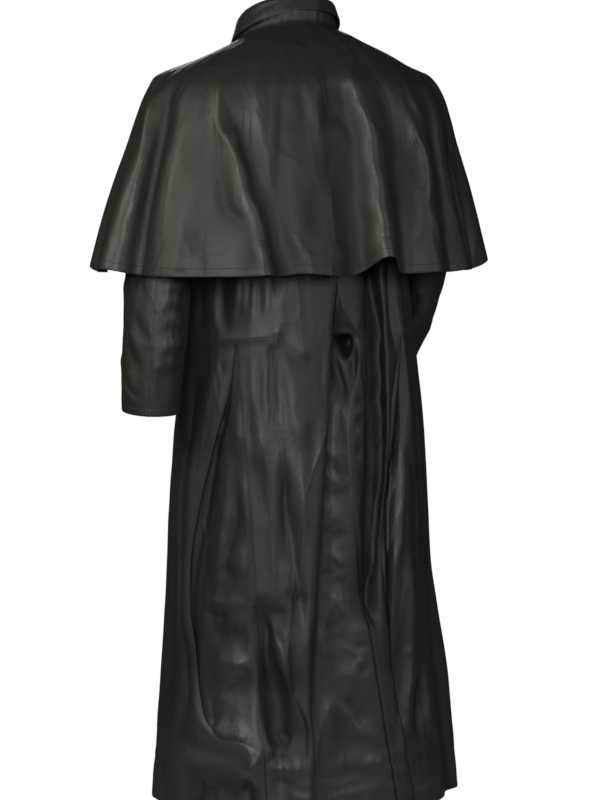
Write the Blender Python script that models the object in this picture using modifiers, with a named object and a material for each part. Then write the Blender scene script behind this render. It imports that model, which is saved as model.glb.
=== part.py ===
"""Long leather coat with a shoulder cape, in its worn form with nothing inside it.

Metres, +Z up. The origin is the middle of the neck at the height of the back neck seam, where the
shoulders of a wearer hold the coat. The coat faces -Y and +X is the wearer's left.
An angle is in degrees round the body: 0 at the centre back, 90 at the left side, -90 at the right.
"""

from collections import namedtuple

import bmesh
import bpy
import numpy as np

# Leather, seams and layers
WALL = 0.002
SEAM_GAP = 0.0005
WAIST_GAP = 0.0008
COLLAR_GAP = 0.0035

# Heights of the figure's levels below the back neck seam
NECK = 0.0
TIP = -0.085
CAP = -0.12
BLADE = -0.19
UNDERARM = -0.283
RIB = -0.42
WAIST = -0.523
HIP = -0.71
THIGH = -0.915
KNEE = -1.07
HEM = -1.32
SKIRT_LEVELS = (HEM, KNEE, THIGH, HIP, WAIST)
BODICE_LEVELS = (WAIST, RIB, UNDERARM, BLADE, CAP, TIP, NECK)

# The neckline slopes down to the front, and the slope fades out over the shoulders
NECK_TILT = 0.34
NECK_BACK = 0.045
TILT_REACH = 0.13

# The waist seam dips towards the side
WAIST_DIP = 0.02
WAIST_DIP_REACH = 0.07
WAIST_DIP_ANGLE = 80.0
WAIST_DIP_SPREAD = 35.0

# Share of a fold's length over which it fades in and out
FOLD_FADE = 0.3

# Cape
CAPE_HEM = -0.42
CAPE_BREAK = -0.05
FLUTE_GROWTH = 1.15
CAPE_FRONT_EDGE = 176.0
CAPE_FRONT_OPENING = 8.0
CAPE_SEAM_TOP = 92.0
CAPE_SEAM_HEM = 112.0
CAPE_SEAM_TURN = 0.22

# Fronts lap by this angle past the centre, the left one on top
FRONT_LAP = 8.0
LAP_START = 156.0
LAP_FULL = 168.0
LAP_LEVEL = 0.006

# Pleat and vent underlays: how far they sit in, and how far they run under the edges
UNDERLAY_TUCK = 3.2
UNDERLAY_SHALLOW = 0.0055
PLEAT_DEEP = 0.017
PLEAT_OPENS = 0.35
PLEAT_CLOSES = 0.7
VENT_DEEP = 0.012
VENT_TOP = -0.40

# Sleeve seams, in degrees round the arm from its outer side towards the back
SLEEVE_BACK_SEAM = 65.0
SLEEVE_FRONT_SEAM = -115.0
SLEEVE_SEAM_TURN = 0.6
ARM_STEP = 0.02

# Armhole: how its lower back edge curves, and how far inside it the sleeve's head sits
ARMHOLE_CURVE = 0.8
ARMHOLE_INSET = 0.004
ARMHOLE_TURN = 2.4

# Collar
COLLAR_FRONT = 170.0
NECK_RADIUS = 0.084
COLLAR_RADIUS = 0.076
STAND_HEIGHT = 0.044
FALL_BACK = 0.049
FALL_POINT = 0.047
FALL_TOP = -0.001
FALL_ROLL = 0.008
FALL_FLARE = 0.006
FALL_CROWN = 0.003
FALL_ROLL_SHARE = 0.4
FALL_START = 0.1
FALL_POINT_FROM = 70.0

COLLECTION = "leather_coat"
LEATHER_COLOUR = (0.040, 0.042, 0.036, 1.0)
LEATHER_ROUGHNESS = 0.42

Ring = namedtuple("Ring", "z half_width back front centre power sway")
SkirtLine = namedtuple("SkirtLine", "hem knee thigh hip waist")
BodiceLine = namedtuple("BodiceLine", "waist rib underarm blade cap tip neck")
Fold = namedtuple("Fold", "top_angle low_angle top_z low_z width out_mm")
Flute = namedtuple("Flute", "top_angle hem_angle width out_mm lift_mm")
Gape = namedtuple("Gape", "z turn")
ArmRing = namedtuple("ArmRing", "outer_x outer_y outer_z inner_x inner_y inner_z half_depth")
Panel = namedtuple("Panel", "name columns rows")

BODY_RINGS = (
    Ring(-1.34, 0.262, 0.232, 0.205, 0.000, 2.00, -0.006),
    Ring(-1.12, 0.243, 0.206, 0.190, 0.000, 2.00, -0.005),
    Ring(-0.92, 0.229, 0.188, 0.175, 0.000, 2.05, -0.004),
    Ring(-0.70, 0.217, 0.176, 0.165, 0.000, 2.10, -0.002),
    Ring(-0.54, 0.202, 0.163, 0.150, 0.000, 2.15, 0.001),
    Ring(-0.42, 0.192, 0.155, 0.142, 0.000, 2.20, 0.005),
    Ring(-0.29, 0.187, 0.153, 0.136, 0.000, 2.30, 0.010),
    Ring(-0.22, 0.186, 0.152, 0.130, 0.000, 2.40, 0.011),
    Ring(-0.14, 0.192, 0.146, 0.122, 0.000, 2.40, 0.012),
    Ring(-0.085, 0.192, 0.130, 0.112, -0.008, 2.30, 0.012),
    Ring(-0.060, 0.152, 0.112, 0.102, -0.016, 2.20, 0.012),
    Ring(-0.030, 0.106, 0.092, 0.092, -0.028, 2.10, 0.011),
    Ring(-0.004, 0.079, 0.078, 0.080, -0.035, 2.00, 0.010),
)

CAPE_RINGS = (
    Ring(-0.440, 0.348, 0.226, 0.198, 0.000, 2.10, 0.019),
    Ring(-0.300, 0.316, 0.200, 0.174, 0.000, 2.20, 0.016),
    Ring(-0.200, 0.284, 0.180, 0.156, 0.000, 2.35, 0.013),
    Ring(-0.160, 0.272, 0.172, 0.149, 0.000, 2.40, 0.012),
    Ring(-0.135, 0.263, 0.166, 0.144, 0.000, 2.40, 0.012),
    Ring(-0.115, 0.250, 0.160, 0.139, 0.000, 2.40, 0.012),
    Ring(-0.085, 0.221, 0.146, 0.130, -0.008, 2.30, 0.012),
    Ring(-0.060, 0.183, 0.130, 0.119, -0.016, 2.20, 0.012),
    Ring(-0.030, 0.131, 0.108, 0.106, -0.028, 2.10, 0.011),
    Ring(0.001, 0.087, 0.085, 0.087, -0.035, 2.00, 0.010),
)

# Seam and edge lines: the angle at each level
VENT_LEFT = SkirtLine(18.0, 16.5, 13.0, 8.0, 3.0)
VENT_RIGHT = SkirtLine(-17.5, -10.5, -6.0, -1.2, -2.2)
PANEL_LEFT = SkirtLine(25.0, 26.0, 27.0, 28.0, 32.0)
PANEL_RIGHT = SkirtLine(-22.0, -14.5, -12.0, -17.0, -32.0)
PLEAT_SEAM_LEFT = SkirtLine(35.5, 39.0, 41.7, 46.5, 53.0)
PLEAT_SEAM_RIGHT = SkirtLine(-26.0, -18.5, -18.0, -24.0, -36.0)
PLEAT_FOLD_LEFT = SkirtLine(46.0, 71.0, 78.0, 67.0, 53.4)
PLEAT_FOLD_RIGHT = SkirtLine(-30.0, -22.0, -22.0, -28.0, -36.4)
SIDE_LEFT = SkirtLine(95.0, 94.0, 93.0, 92.0, 92.0)
BACK_EDGE = BodiceLine(32.0, 33.0, 43.0, 61.0, 72.0, 90.0, 90.0)
FRONT_EDGE = BodiceLine(92.0, 92.0, 92.0, 119.0, 110.0, 90.0, 90.0)

# How far the right back's edge gapes away from its line, just below the waist
VENT_GAPE = (
    Gape(-0.660, 0.0),
    Gape(-0.630, -0.6),
    Gape(-0.594, -4.3),
    Gape(-0.550, -6.6),
    Gape(-0.526, -7.4),
    Gape(-0.508, -3.4),
    Gape(-0.484, -0.7),
    Gape(-0.460, 0.0),
)

# The largest folds of the body, ridges outwards and troughs inwards
BODY_FOLDS = (
    Fold(30.0, 19.0, -0.68, -1.04, 3.6, -9.0),
    Fold(37.0, 19.0, -0.96, -1.20, 4.5, 8.0),
    Fold(36.0, 29.0, -1.02, -1.34, 4.0, -9.0),
    Fold(18.0, 20.0, -1.00, -1.60, 4.5, 7.0),
    Fold(25.0, 20.0, -0.52, -0.72, 5.0, 6.0),
    Fold(78.0, 84.0, -0.62, -1.20, 5.0, 9.0),
    Fold(88.0, 70.0, -0.80, -1.60, 6.0, -10.0),
    Fold(-22.0, -9.0, -0.36, -0.98, 3.2, -10.0),
    Fold(-27.0, -18.0, -0.38, -0.86, 3.0, 5.0),
    Fold(-34.0, -31.0, -0.34, -0.56, 3.2, -8.0),
    Fold(-41.0, -28.0, -0.40, -1.20, 4.2, 10.0),
    Fold(-56.0, -62.0, -0.66, -1.60, 6.0, -11.0),
    Fold(-70.0, -66.0, -0.90, -1.70, 9.0, 17.0),
    Fold(-88.0, -94.0, -0.75, -1.60, 6.0, -9.0),
    Fold(106.0, 112.0, -0.60, -1.60, 7.0, 10.0),
    Fold(124.0, 130.0, -0.66, -1.60, 6.0, -11.0),
    Fold(143.0, 146.0, -0.58, -1.60, 7.0, 9.0),
    Fold(-108.0, -114.0, -0.62, -1.60, 7.0, 9.0),
    Fold(-128.0, -130.0, -0.58, -1.60, 6.0, -10.0),
    Fold(-146.0, -150.0, -0.70, -1.60, 7.0, 8.0),
)

# The waves of the cape, growing from the shoulders to its hem
CAPE_FLUTES = (
    Flute(166.0, 158.0, 7.0, 18.0, 8.0),
    Flute(150.0, 144.0, 6.0, -14.0, 0.0),
    Flute(136.0, 128.0, 7.5, 20.0, 10.0),
    Flute(118.0, 112.0, 6.0, -12.0, 0.0),
    Flute(96.0, 98.0, 7.0, 14.0, 12.0),
    Flute(84.0, 80.0, 6.5, 26.0, 10.0),
    Flute(74.0, 69.0, 5.5, -24.0, 0.0),
    Flute(56.0, 52.0, 9.0, 7.0, 0.0),
    Flute(52.0, 27.0, 5.5, 16.0, 2.0),
    Flute(46.0, 20.0, 5.0, -15.0, 0.0),
    Flute(20.0, 11.0, 6.0, 8.0, 4.0),
    Flute(1.0, -1.0, 4.6, -18.0, -4.0),
    Flute(-8.0, -10.0, 5.0, 25.0, 30.0),
    Flute(-18.0, -20.0, 5.0, -16.0, 0.0),
    Flute(-31.0, -29.0, 6.0, 13.0, 3.0),
    Flute(-40.0, -38.5, 4.6, -12.0, 0.0),
    Flute(-48.0, -48.0, 5.5, 14.0, 6.0),
    Flute(-58.0, -58.0, 5.5, -20.0, 0.0),
    Flute(-72.0, -71.0, 7.5, 17.0, 16.0),
    Flute(-90.0, -92.0, 7.0, -14.0, 6.0),
    Flute(-114.0, -115.0, 13.0, 40.0, 8.0),
    Flute(-136.0, -136.0, 6.0, -12.0, 0.0),
    Flute(-148.0, -146.0, 7.0, 17.0, 8.0),
    Flute(-166.0, -160.0, 6.0, -12.0, 0.0),
)

LEFT_ARM = (
    ArmRing(0.232, 0.000, -0.106, 0.201, 0.000, -0.289, 0.074),
    ArmRing(0.256, 0.001, -0.138, 0.204, 0.001, -0.297, 0.073),
    ArmRing(0.275, 0.004, -0.185, 0.207, 0.004, -0.309, 0.071),
    ArmRing(0.291, 0.010, -0.250, 0.209, 0.010, -0.332, 0.068),
    ArmRing(0.310, 0.020, -0.330, 0.213, 0.020, -0.374, 0.064),
    ArmRing(0.324, 0.030, -0.410, 0.217, 0.030, -0.427, 0.061),
    ArmRing(0.331, 0.032, -0.505, 0.225, 0.032, -0.511, 0.057),
    ArmRing(0.333, 0.028, -0.585, 0.232, 0.028, -0.586, 0.053),
    ArmRing(0.331, 0.022, -0.648, 0.236, 0.022, -0.648, 0.050),
)

RIGHT_ARM = (
    ArmRing(-0.212, -0.002, -0.106, -0.181, -0.003, -0.289, 0.074),
    ArmRing(-0.236, -0.006, -0.138, -0.184, -0.008, -0.297, 0.073),
    ArmRing(-0.255, -0.012, -0.185, -0.187, -0.015, -0.309, 0.071),
    ArmRing(-0.272, -0.022, -0.250, -0.191, -0.025, -0.332, 0.068),
    ArmRing(-0.288, -0.036, -0.335, -0.198, -0.038, -0.377, 0.064),
    ArmRing(-0.298, -0.052, -0.415, -0.202, -0.056, -0.438, 0.061),
    ArmRing(-0.294, -0.082, -0.492, -0.197, -0.087, -0.505, 0.057),
    ArmRing(-0.284, -0.122, -0.556, -0.187, -0.126, -0.568, 0.053),
    ArmRing(-0.273, -0.164, -0.614, -0.179, -0.168, -0.625, 0.050),
)

BACK_COLUMNS = (4, 6)
SKIRT_ROWS = 9
BODICE_ROWS = 6
SHOULDER_ROWS = 6
BODY_ROWS = SKIRT_ROWS + BODICE_ROWS + SHOULDER_ROWS
SIDE_BACK = Panel("side_back", 6, BODICE_ROWS)
SIDE_SKIRT = Panel("side_skirt", 7, SKIRT_ROWS)
UNDERLAY = Panel("pleat_underlay", 6, SKIRT_ROWS)
VENT = Panel("vent_underlay", 8, SKIRT_ROWS)
FRONT = Panel("front", 12, BODY_ROWS)
CAPE_BACK = Panel("cape_back", 56, 11)
CAPE_FRONT = Panel("cape_front", 16, 11)
SLEEVE = Panel("sleeve", 10, 14)
STAND = Panel("collar_stand", 30, 2)
FALL = Panel("collar_fall", 30, 5)


def clear_scene():
    """Remove every object that the open file holds."""
    for item in list(bpy.data.objects):
        bpy.data.objects.remove(item, do_unlink=True)


def smooth(at, knots, values):
    """Monotone cubic through a table's values at its rising knots."""
    at = np.clip(np.asarray(at, float), knots[0], knots[-1])
    knots = np.asarray(knots, float)
    values = np.asarray(values, float)
    step = np.diff(knots)
    rise = np.diff(values) / step
    slope = np.concatenate([rise[:1], np.zeros(len(rise) - 1), rise[-1:]])
    same = rise[:-1] * rise[1:] > 0
    slope[1:-1][same] = (2 * rise[:-1] * rise[1:])[same] / (rise[:-1] + rise[1:])[same]
    i = np.clip(np.searchsorted(knots, at) - 1, 0, len(step) - 1)
    h = step[i]
    t = (at - knots[i]) / h
    blend = t * t * (3 - 2 * t)
    ease = t * (1 - t) * (1 - t)
    settle = t * t * (1 - t)
    return values[i] * (1 - blend) + values[i + 1] * blend + h * (slope[i] * ease - slope[i + 1] * settle)


def step(low, high, at):
    """Rise smoothly from 0 at low to 1 at high."""
    t = np.clip((at - low) / (high - low), 0.0, 1.0)
    return t * t * (3 - 2 * t)


def mix(first, second, share):
    """Go straight from first to second."""
    return first + (second - first) * share


def bump(distance, width):
    """A soft ridge of height 1 that fades out over a width."""
    return np.exp(-((distance / width) ** 2))


def signed_power(value, power):
    """Raise a number's size to a power and keep its sign."""
    return np.sign(value) * np.abs(value) ** power


def turn_between(angle, line):
    """Shortest turn from a line's angle to an angle."""
    return (angle - line + 180.0) % 360.0 - 180.0


def ring_point(rings, angle, z, out):
    """Point on a stack of rings, moved out square to its ring."""
    columns = Ring(*np.array(rings).T)
    half_width, back, front, centre, power, sway = (smooth(z, columns.z, column) for column in columns[1:])
    sine = np.sin(np.radians(angle))
    cosine = np.cos(np.radians(angle))
    depth = np.where(cosine > 0, back, front)
    x = half_width * signed_power(sine, 2 / power)
    y = depth * signed_power(cosine, 2 / power)
    normal_x = signed_power(x / half_width, power - 1) / half_width
    normal_y = signed_power(y / depth, power - 1) / depth
    length = np.hypot(normal_x, normal_y)
    x = x + out * normal_x / length + sway
    y = y + out * normal_y / length + centre
    tilt = NECK_TILT * step(-TILT_REACH, 0.0, z)
    return np.stack([x, y, z + tilt * (y - NECK_BACK)], axis=-1)


def fold_depth(folds, angle, z):
    """Sum of the folds at a place: each fades in below its top and out above its foot."""
    total = np.zeros_like(angle)
    for fold in folds:
        share = np.clip((fold.top_z - z) / (fold.top_z - fold.low_z), 0.0, 1.0)
        line = mix(fold.top_angle, fold.low_angle, share)
        strength = step(0.0, FOLD_FADE, share) * step(0.0, FOLD_FADE, 1 - share)
        total += fold.out_mm / 1000 * strength * bump(turn_between(angle, line), fold.width)
    return total


def body_point(angle, z, out=0.0):
    """Point of the coat's body at an angle and level, with its folds."""
    angle, z, out = np.broadcast_arrays(np.asarray(angle, float), z, out)
    dip = bump(np.abs(angle) - WAIST_DIP_ANGLE, WAIST_DIP_SPREAD) * bump(z - WAIST, WAIST_DIP_REACH)
    return ring_point(BODY_RINGS, angle, z - WAIST_DIP * dip, out + fold_depth(BODY_FOLDS, angle, z))


def cape_point(angle, share):
    """Point of the cape at an angle, from its neck edge at 0 to its hem at 1."""
    z = mix(CAPE_RINGS[-1].z, CAPE_HEM, share)
    grown = np.clip((CAPE_BREAK - z) / (CAPE_BREAK - CAPE_HEM), 0.0, 1.0) ** FLUTE_GROWTH
    out = np.zeros_like(angle)
    lift = np.zeros_like(angle)
    for flute in CAPE_FLUTES:
        line = mix(flute.top_angle, flute.hem_angle, share)
        wave = grown * bump(turn_between(angle, line), flute.width)
        out += flute.out_mm / 1000 * wave
        lift += flute.lift_mm / 1000 * wave * share
    return ring_point(CAPE_RINGS, angle, z + lift, out)


def skirt_angle(line, z):
    """Angle of a skirt line at a level."""
    return smooth(z, SKIRT_LEVELS, line)


def vent_angle(side, z):
    """Angle of the centre edge of a back: closed above the ribs, then opening into the vent."""
    line = VENT_LEFT if side > 0 else VENT_RIGHT
    above = line.waist * step(RIB, WAIST, z)
    gape = np.zeros_like(z) if side > 0 else smooth(z, *np.array(VENT_GAPE).T)
    return np.where(z < WAIST, skirt_angle(line, z), above) + gape


def bodice_angle(line, z):
    """Angle of a bodice line at a level."""
    return smooth(z, BODICE_LEVELS, line)


def whole_angle(skirt, bodice, z):
    """Angle of a line that runs from the hem through the waist to the neck."""
    return np.where(z < WAIST, skirt_angle(skirt, z), bodice_angle(bodice, z))


def seam_turn(z):
    """Half a seam gap as an angle at a level."""
    columns = Ring(*np.array(BODY_RINGS).T)
    return np.degrees(SEAM_GAP / 2 / smooth(z, columns.z, columns.back))


def mirrored(line):
    """The same line on the other side of the body."""
    return type(line)(*(-angle for angle in line))


def body_level(share):
    """Level of a panel from hem to neck, whose rows meet the waist and the top of the side back."""
    rows = share * BODY_ROWS
    counts = np.cumsum((0, SKIRT_ROWS, BODICE_ROWS, SHOULDER_ROWS))
    return np.interp(rows, counts, (HEM, WAIST, BLADE, BODY_RINGS[-1].z))


def sheet_object(name, columns, rows, place, wall=WALL, keep=None):
    """A cut piece: a grid laid on its form by place(across, up), then given the leather's thickness."""
    shape = bmesh.new()
    bmesh.ops.create_grid(shape, x_segments=columns, y_segments=rows, size=0.5)
    spots = np.array([corner.co[:2] for corner in shape.verts], float) + 0.5
    across = np.rint(spots[:, 0] * columns) / columns
    up = np.rint(spots[:, 1] * rows) / rows
    points = place(across, up)
    if keep is not None:
        cut = [face for face in shape.faces if not keep(*(np.array(face.calc_center_median()[:2]) + 0.5))]
    for corner, point in zip(shape.verts, points):
        corner.co = point
    if keep is not None:
        bmesh.ops.delete(shape, geom=cut, context="FACES")
    mesh = bpy.data.meshes.new(name)
    shape.to_mesh(mesh)
    shape.free()
    mesh.shade_smooth()
    mesh.materials.append(leather(name))
    piece = bpy.data.objects.new(name, mesh)
    bpy.data.collections[COLLECTION].objects.link(piece)
    piece.modifiers.new("Facets", "TRIANGULATE")
    thicken = piece.modifiers.new("Leather", "SOLIDIFY")
    thicken.thickness = wall
    thicken.offset = -1.0
    return piece


def leather(name):
    """Satin black-brown leather."""
    material = bpy.data.materials.new(name + "_leather")
    material.use_nodes = True
    shader = material.node_tree.nodes["Principled BSDF"]
    shader.inputs["Base Color"].default_value = LEATHER_COLOUR
    shader.inputs["Roughness"].default_value = LEATHER_ROUGHNESS
    shader.inputs["Metallic"].default_value = 0.0
    return material


def make_back(side):
    """Centre-back bodice and skirt in one, wider below the waist, where it runs to the side pleat."""
    left = side > 0
    outer = PLEAT_SEAM_LEFT if left else PLEAT_SEAM_RIGHT
    middle = PANEL_LEFT if left else PANEL_RIGHT
    back_edge = BACK_EDGE if left else mirrored(BACK_EDGE)
    extra, main = BACK_COLUMNS
    step_at = extra / (extra + main)
    waist_share = SKIRT_ROWS / BODY_ROWS

    def place(across, up):
        z = body_level(up)
        gap = side * seam_turn(z)
        inward = across if left else 1 - across
        far = skirt_angle(outer, z) - gap
        step_line = whole_angle(middle, back_edge, z)
        step_line = np.where(z < WAIST, step_line, step_line - gap)
        centre = vent_angle(side, z) + gap
        on_extra = mix(far, step_line, inward / step_at)
        on_main = mix(step_line, centre, (inward - step_at) / (1 - step_at))
        return body_point(np.where(inward < step_at, on_extra, on_main), z)

    def keep(across, up):
        inward = across if left else 1 - across
        return inward > step_at or up < waist_share

    name = "back_left" if left else "back_right"
    return sheet_object(name, extra + main, BODY_ROWS, place, keep=keep)


def make_side_back(side):
    """Bodice panel between the back and the side seam, from the waist seam up to the armhole."""
    back_edge = BACK_EDGE if side > 0 else mirrored(BACK_EDGE)
    side_line = side * SIDE_LEFT.waist

    def place(across, up):
        outward = 1 - across if side > 0 else across
        low = WAIST + WAIST_GAP
        top = mix(BLADE, UNDERARM, outward ** ARMHOLE_CURVE) - SEAM_GAP
        z = mix(low, top, up)
        gap = side * seam_turn(z)
        inner = bodice_angle(back_edge, z) + gap
        return body_point(mix(inner, side_line - gap, outward), z)

    name = SIDE_BACK.name + ("_left" if side > 0 else "_right")
    return sheet_object(name, SIDE_BACK.columns, SIDE_BACK.rows, place)


def make_side_skirt(side):
    """Skirt panel from the pleat's fold to the side seam, hung from the waist seam."""
    fold = PLEAT_FOLD_LEFT if side > 0 else PLEAT_FOLD_RIGHT
    side_line = SIDE_LEFT if side > 0 else mirrored(SIDE_LEFT)

    def place(across, up):
        outward = 1 - across if side > 0 else across
        z = mix(HEM, WAIST - SEAM_GAP, up)
        gap = side * seam_turn(z)
        return body_point(mix(skirt_angle(fold, z) + gap, skirt_angle(side_line, z) - gap, outward), z)

    name = SIDE_SKIRT.name + ("_left" if side > 0 else "_right")
    return sheet_object(name, SIDE_SKIRT.columns, SIDE_SKIRT.rows, place)


def make_pleat_underlay(side):
    """Strip that closes the side pleat from behind, deepest under the pleat's fold."""
    seam = PLEAT_SEAM_LEFT if side > 0 else PLEAT_SEAM_RIGHT
    fold = PLEAT_FOLD_LEFT if side > 0 else PLEAT_FOLD_RIGHT

    def place(across, up):
        outward = 1 - across if side > 0 else across
        z = mix(HEM + SEAM_GAP, WAIST - SEAM_GAP, up)
        inner = skirt_angle(seam, z) - side * UNDERLAY_TUCK
        outer = skirt_angle(fold, z) + side * UNDERLAY_TUCK
        open_here = step(0.0, PLEAT_OPENS, 1 - up) * (1 - step(PLEAT_CLOSES, 1.0, 1 - up) / 2)
        deep = mix(UNDERLAY_SHALLOW, PLEAT_DEEP, open_here * outward ** 1.5)
        return body_point(mix(inner, outer, outward), z, -deep)

    name = UNDERLAY.name + ("_left" if side > 0 else "_right")
    return sheet_object(name, UNDERLAY.columns, UNDERLAY.rows, place)


def make_vent_underlay():
    """Wedge that shows between the two backs, from under the cape to the hem."""

    def place(across, up):
        z = mix(HEM + SEAM_GAP, VENT_TOP, up)
        left = vent_angle(1, z) + UNDERLAY_TUCK
        right = vent_angle(-1, z) - UNDERLAY_TUCK
        inside = np.sin(np.pi * across)
        deep = mix(UNDERLAY_SHALLOW, VENT_DEEP, inside)
        return body_point(mix(left, right, across), z, -deep)

    return sheet_object(VENT.name, VENT.columns, VENT.rows, place)


def make_front(side):
    """Whole front from shoulder to hem, lapped past the centre: the left one lies on top."""
    side_line = SIDE_LEFT if side > 0 else mirrored(SIDE_LEFT)
    front_edge = FRONT_EDGE if side > 0 else mirrored(FRONT_EDGE)

    def place(across, up):
        outward = across if side > 0 else 1 - across
        z = body_level(up)
        seam = whole_angle(side_line, front_edge, z) + side * seam_turn(z)
        centre = side * (180.0 + FRONT_LAP)
        angle = mix(centre, seam, outward)
        lap = step(LAP_START, LAP_FULL, np.abs(angle))
        return body_point(angle, z, side * lap * LAP_LEVEL / 2)

    name = FRONT.name + ("_left" if side > 0 else "_right")
    return sheet_object(name, FRONT.columns, FRONT.rows, place)


def cape_seam(share):
    """Angle of the cape's shoulder seam, which runs forward as it goes down."""
    return mix(CAPE_SEAM_TOP, CAPE_SEAM_HEM, share)


def make_cape_back():
    """Back of the cape, from seam to seam over the shoulders."""

    def place(across, up):
        share = 1 - up
        seam = cape_seam(share) - CAPE_SEAM_TURN
        return cape_point(mix(seam, -seam, across), share)

    return sheet_object(CAPE_BACK.name, CAPE_BACK.columns, CAPE_BACK.rows, place)


def make_cape_front(side):
    """Front of the cape, from the shoulder seam to the open front edge."""

    def place(across, up):
        share = 1 - up
        outward = across if side > 0 else 1 - across
        edge = CAPE_FRONT_EDGE - CAPE_FRONT_OPENING * share
        seam = cape_seam(share) + CAPE_SEAM_TURN
        return cape_point(side * mix(edge, seam, outward), share)

    name = CAPE_FRONT.name + ("_left" if side > 0 else "_right")
    return sheet_object(name, CAPE_FRONT.columns, CAPE_FRONT.rows, place)


def armhole_angle(z, sine):
    """Angle of the left sleeve's head at a level, just inside the armhole's back or front edge."""
    low_share = np.clip((BLADE - z) / (BLADE - UNDERARM), 0.0, 1.0) ** (1 / ARMHOLE_CURVE)
    low = mix(bodice_angle(BACK_EDGE, z), SIDE_LEFT.waist, low_share)
    back = np.where(z < BLADE, low, bodice_angle(BACK_EDGE, z))
    return np.where(sine > 0, back, bodice_angle(FRONT_EDGE, z)) + ARMHOLE_TURN * sine


def armhole_point(turn, side):
    """Point of the sleeve's head at the armhole, round from the shoulder tip towards the back."""
    middle = (TIP + UNDERARM) / 2
    half = (TIP - UNDERARM) / 2 - ARMHOLE_INSET
    cosine = np.cos(np.radians(turn))
    z = middle + half * cosine
    angle = armhole_angle(z, np.sin(np.radians(turn)))
    return body_point(side * angle, z)


def arm_point(arm, share, turn, side):
    """Point of the sleeve below its head: an oval between the arm's outer and inner lines."""
    columns = ArmRing(*np.array(arm).T)
    stations = np.linspace(0.0, 1.0, len(arm))
    ring = [smooth(share, stations, column) for column in columns]
    later = [smooth(share + ARM_STEP, stations, column) for column in columns]
    sooner = [smooth(share - ARM_STEP, stations, column) for column in columns]
    outer = np.stack(ring[0:3], axis=-1)
    inner = np.stack(ring[3:6], axis=-1)
    ahead = np.stack(later[0:3], axis=-1) + np.stack(later[3:6], axis=-1)
    behind = np.stack(sooner[0:3], axis=-1) + np.stack(sooner[3:6], axis=-1)
    across = (outer - inner) / 2
    back = np.cross(across, ahead - behind) * side
    back *= (ring[6] / np.linalg.norm(back, axis=-1))[:, None]
    cosine = np.cos(np.radians(turn))[:, None]
    sine = np.sin(np.radians(turn))[:, None]
    return (outer + inner) / 2 + across * cosine + back * sine


def make_sleeve(side, upper):
    """One piece of a two-piece sleeve, from the armhole to the cuff."""
    arm = LEFT_ARM if side > 0 else RIGHT_ARM
    start = SLEEVE_FRONT_SEAM if upper else SLEEVE_BACK_SEAM
    end = SLEEVE_BACK_SEAM if upper else SLEEVE_FRONT_SEAM + 360.0

    def place(across, up):
        share = 1 - up
        head = 1.0 / SLEEVE.rows
        round_arm = across if side > 0 else 1 - across
        turn = mix(start + SLEEVE_SEAM_TURN, end - SLEEVE_SEAM_TURN, round_arm)
        below = arm_point(arm, np.clip((share - head) / (1 - head), 0.0, 1.0), turn, side)
        return np.where((share < head / 2)[:, None], armhole_point(turn, side), below)

    name = ("top_sleeve" if upper else "under_sleeve") + ("_left" if side > 0 else "_right")
    return sheet_object(name, SLEEVE.columns, SLEEVE.rows, place)


def collar_point(angle, height, out):
    """Point on the collar's leaning ring, at a height above the neck seam."""
    lean = mix(NECK_RADIUS, COLLAR_RADIUS, np.clip(height / STAND_HEIGHT, 0.0, 1.0))
    x = (lean + out) * np.sin(np.radians(angle)) + BODY_RINGS[-1].sway
    y = (lean + out) * np.cos(np.radians(angle)) + BODY_RINGS[-1].centre
    return np.stack([x, y, height + NECK_TILT * (y - NECK_BACK)], axis=-1)


def make_collar_stand():
    """Upright band of the collar, on the neck seam."""

    def place(across, up):
        angle = mix(COLLAR_FRONT, -COLLAR_FRONT, across)
        return collar_point(angle, mix(COLLAR_GAP, STAND_HEIGHT - 2 * COLLAR_GAP, up), 0.0)

    return sheet_object(STAND.name, STAND.columns, STAND.rows, place)


def make_collar_fall():
    """Turned-down part of the collar, rolled over the stand's top, with longer front points."""

    def place(across, up):
        angle = mix(COLLAR_FRONT, -COLLAR_FRONT, across)
        long = mix(FALL_BACK, FALL_POINT, step(FALL_POINT_FROM, COLLAR_FRONT, np.abs(angle)))
        down = 1 - up
        roll = np.sin(np.pi * np.clip(down / FALL_ROLL_SHARE, 0.0, 1.0) / 2)
        height = STAND_HEIGHT - long * np.maximum(down - FALL_START, 0.0) + FALL_CROWN * np.sin(np.pi * down)
        return collar_point(angle, height, FALL_TOP + FALL_ROLL * roll + FALL_FLARE * down * down)

    return sheet_object(FALL.name, FALL.columns, FALL.rows, place)


def build():
    """Make every piece of the coat in its own collection."""
    clear_scene()
    bpy.context.scene.collection.children.link(bpy.data.collections.new(COLLECTION))
    make_collar_stand()
    make_collar_fall()
    make_cape_back()
    make_vent_underlay()
    for side in (1, -1):
        make_cape_front(side)
        make_back(side)
        make_side_back(side)
        make_side_skirt(side)
        make_pleat_underlay(side)
        make_front(side)
        make_sleeve(side, upper=True)
        make_sleeve(side, upper=False)


build()
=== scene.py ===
"""Long leather coat with a shoulder cape: its finished leather, its sewing, the studio and the camera.

Metres, +Z up. The origin is the middle of the neck at the height of the back neck seam. The coat faces
-Y and +X is the wearer's left. An angle is in degrees round the body: 0 at the centre back, 90 at the
left side, -90 at the right side.
"""
import logging
import math
from dataclasses import dataclass, field
from enum import Enum
from typing import Callable, NamedTuple, Protocol, Sequence

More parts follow.
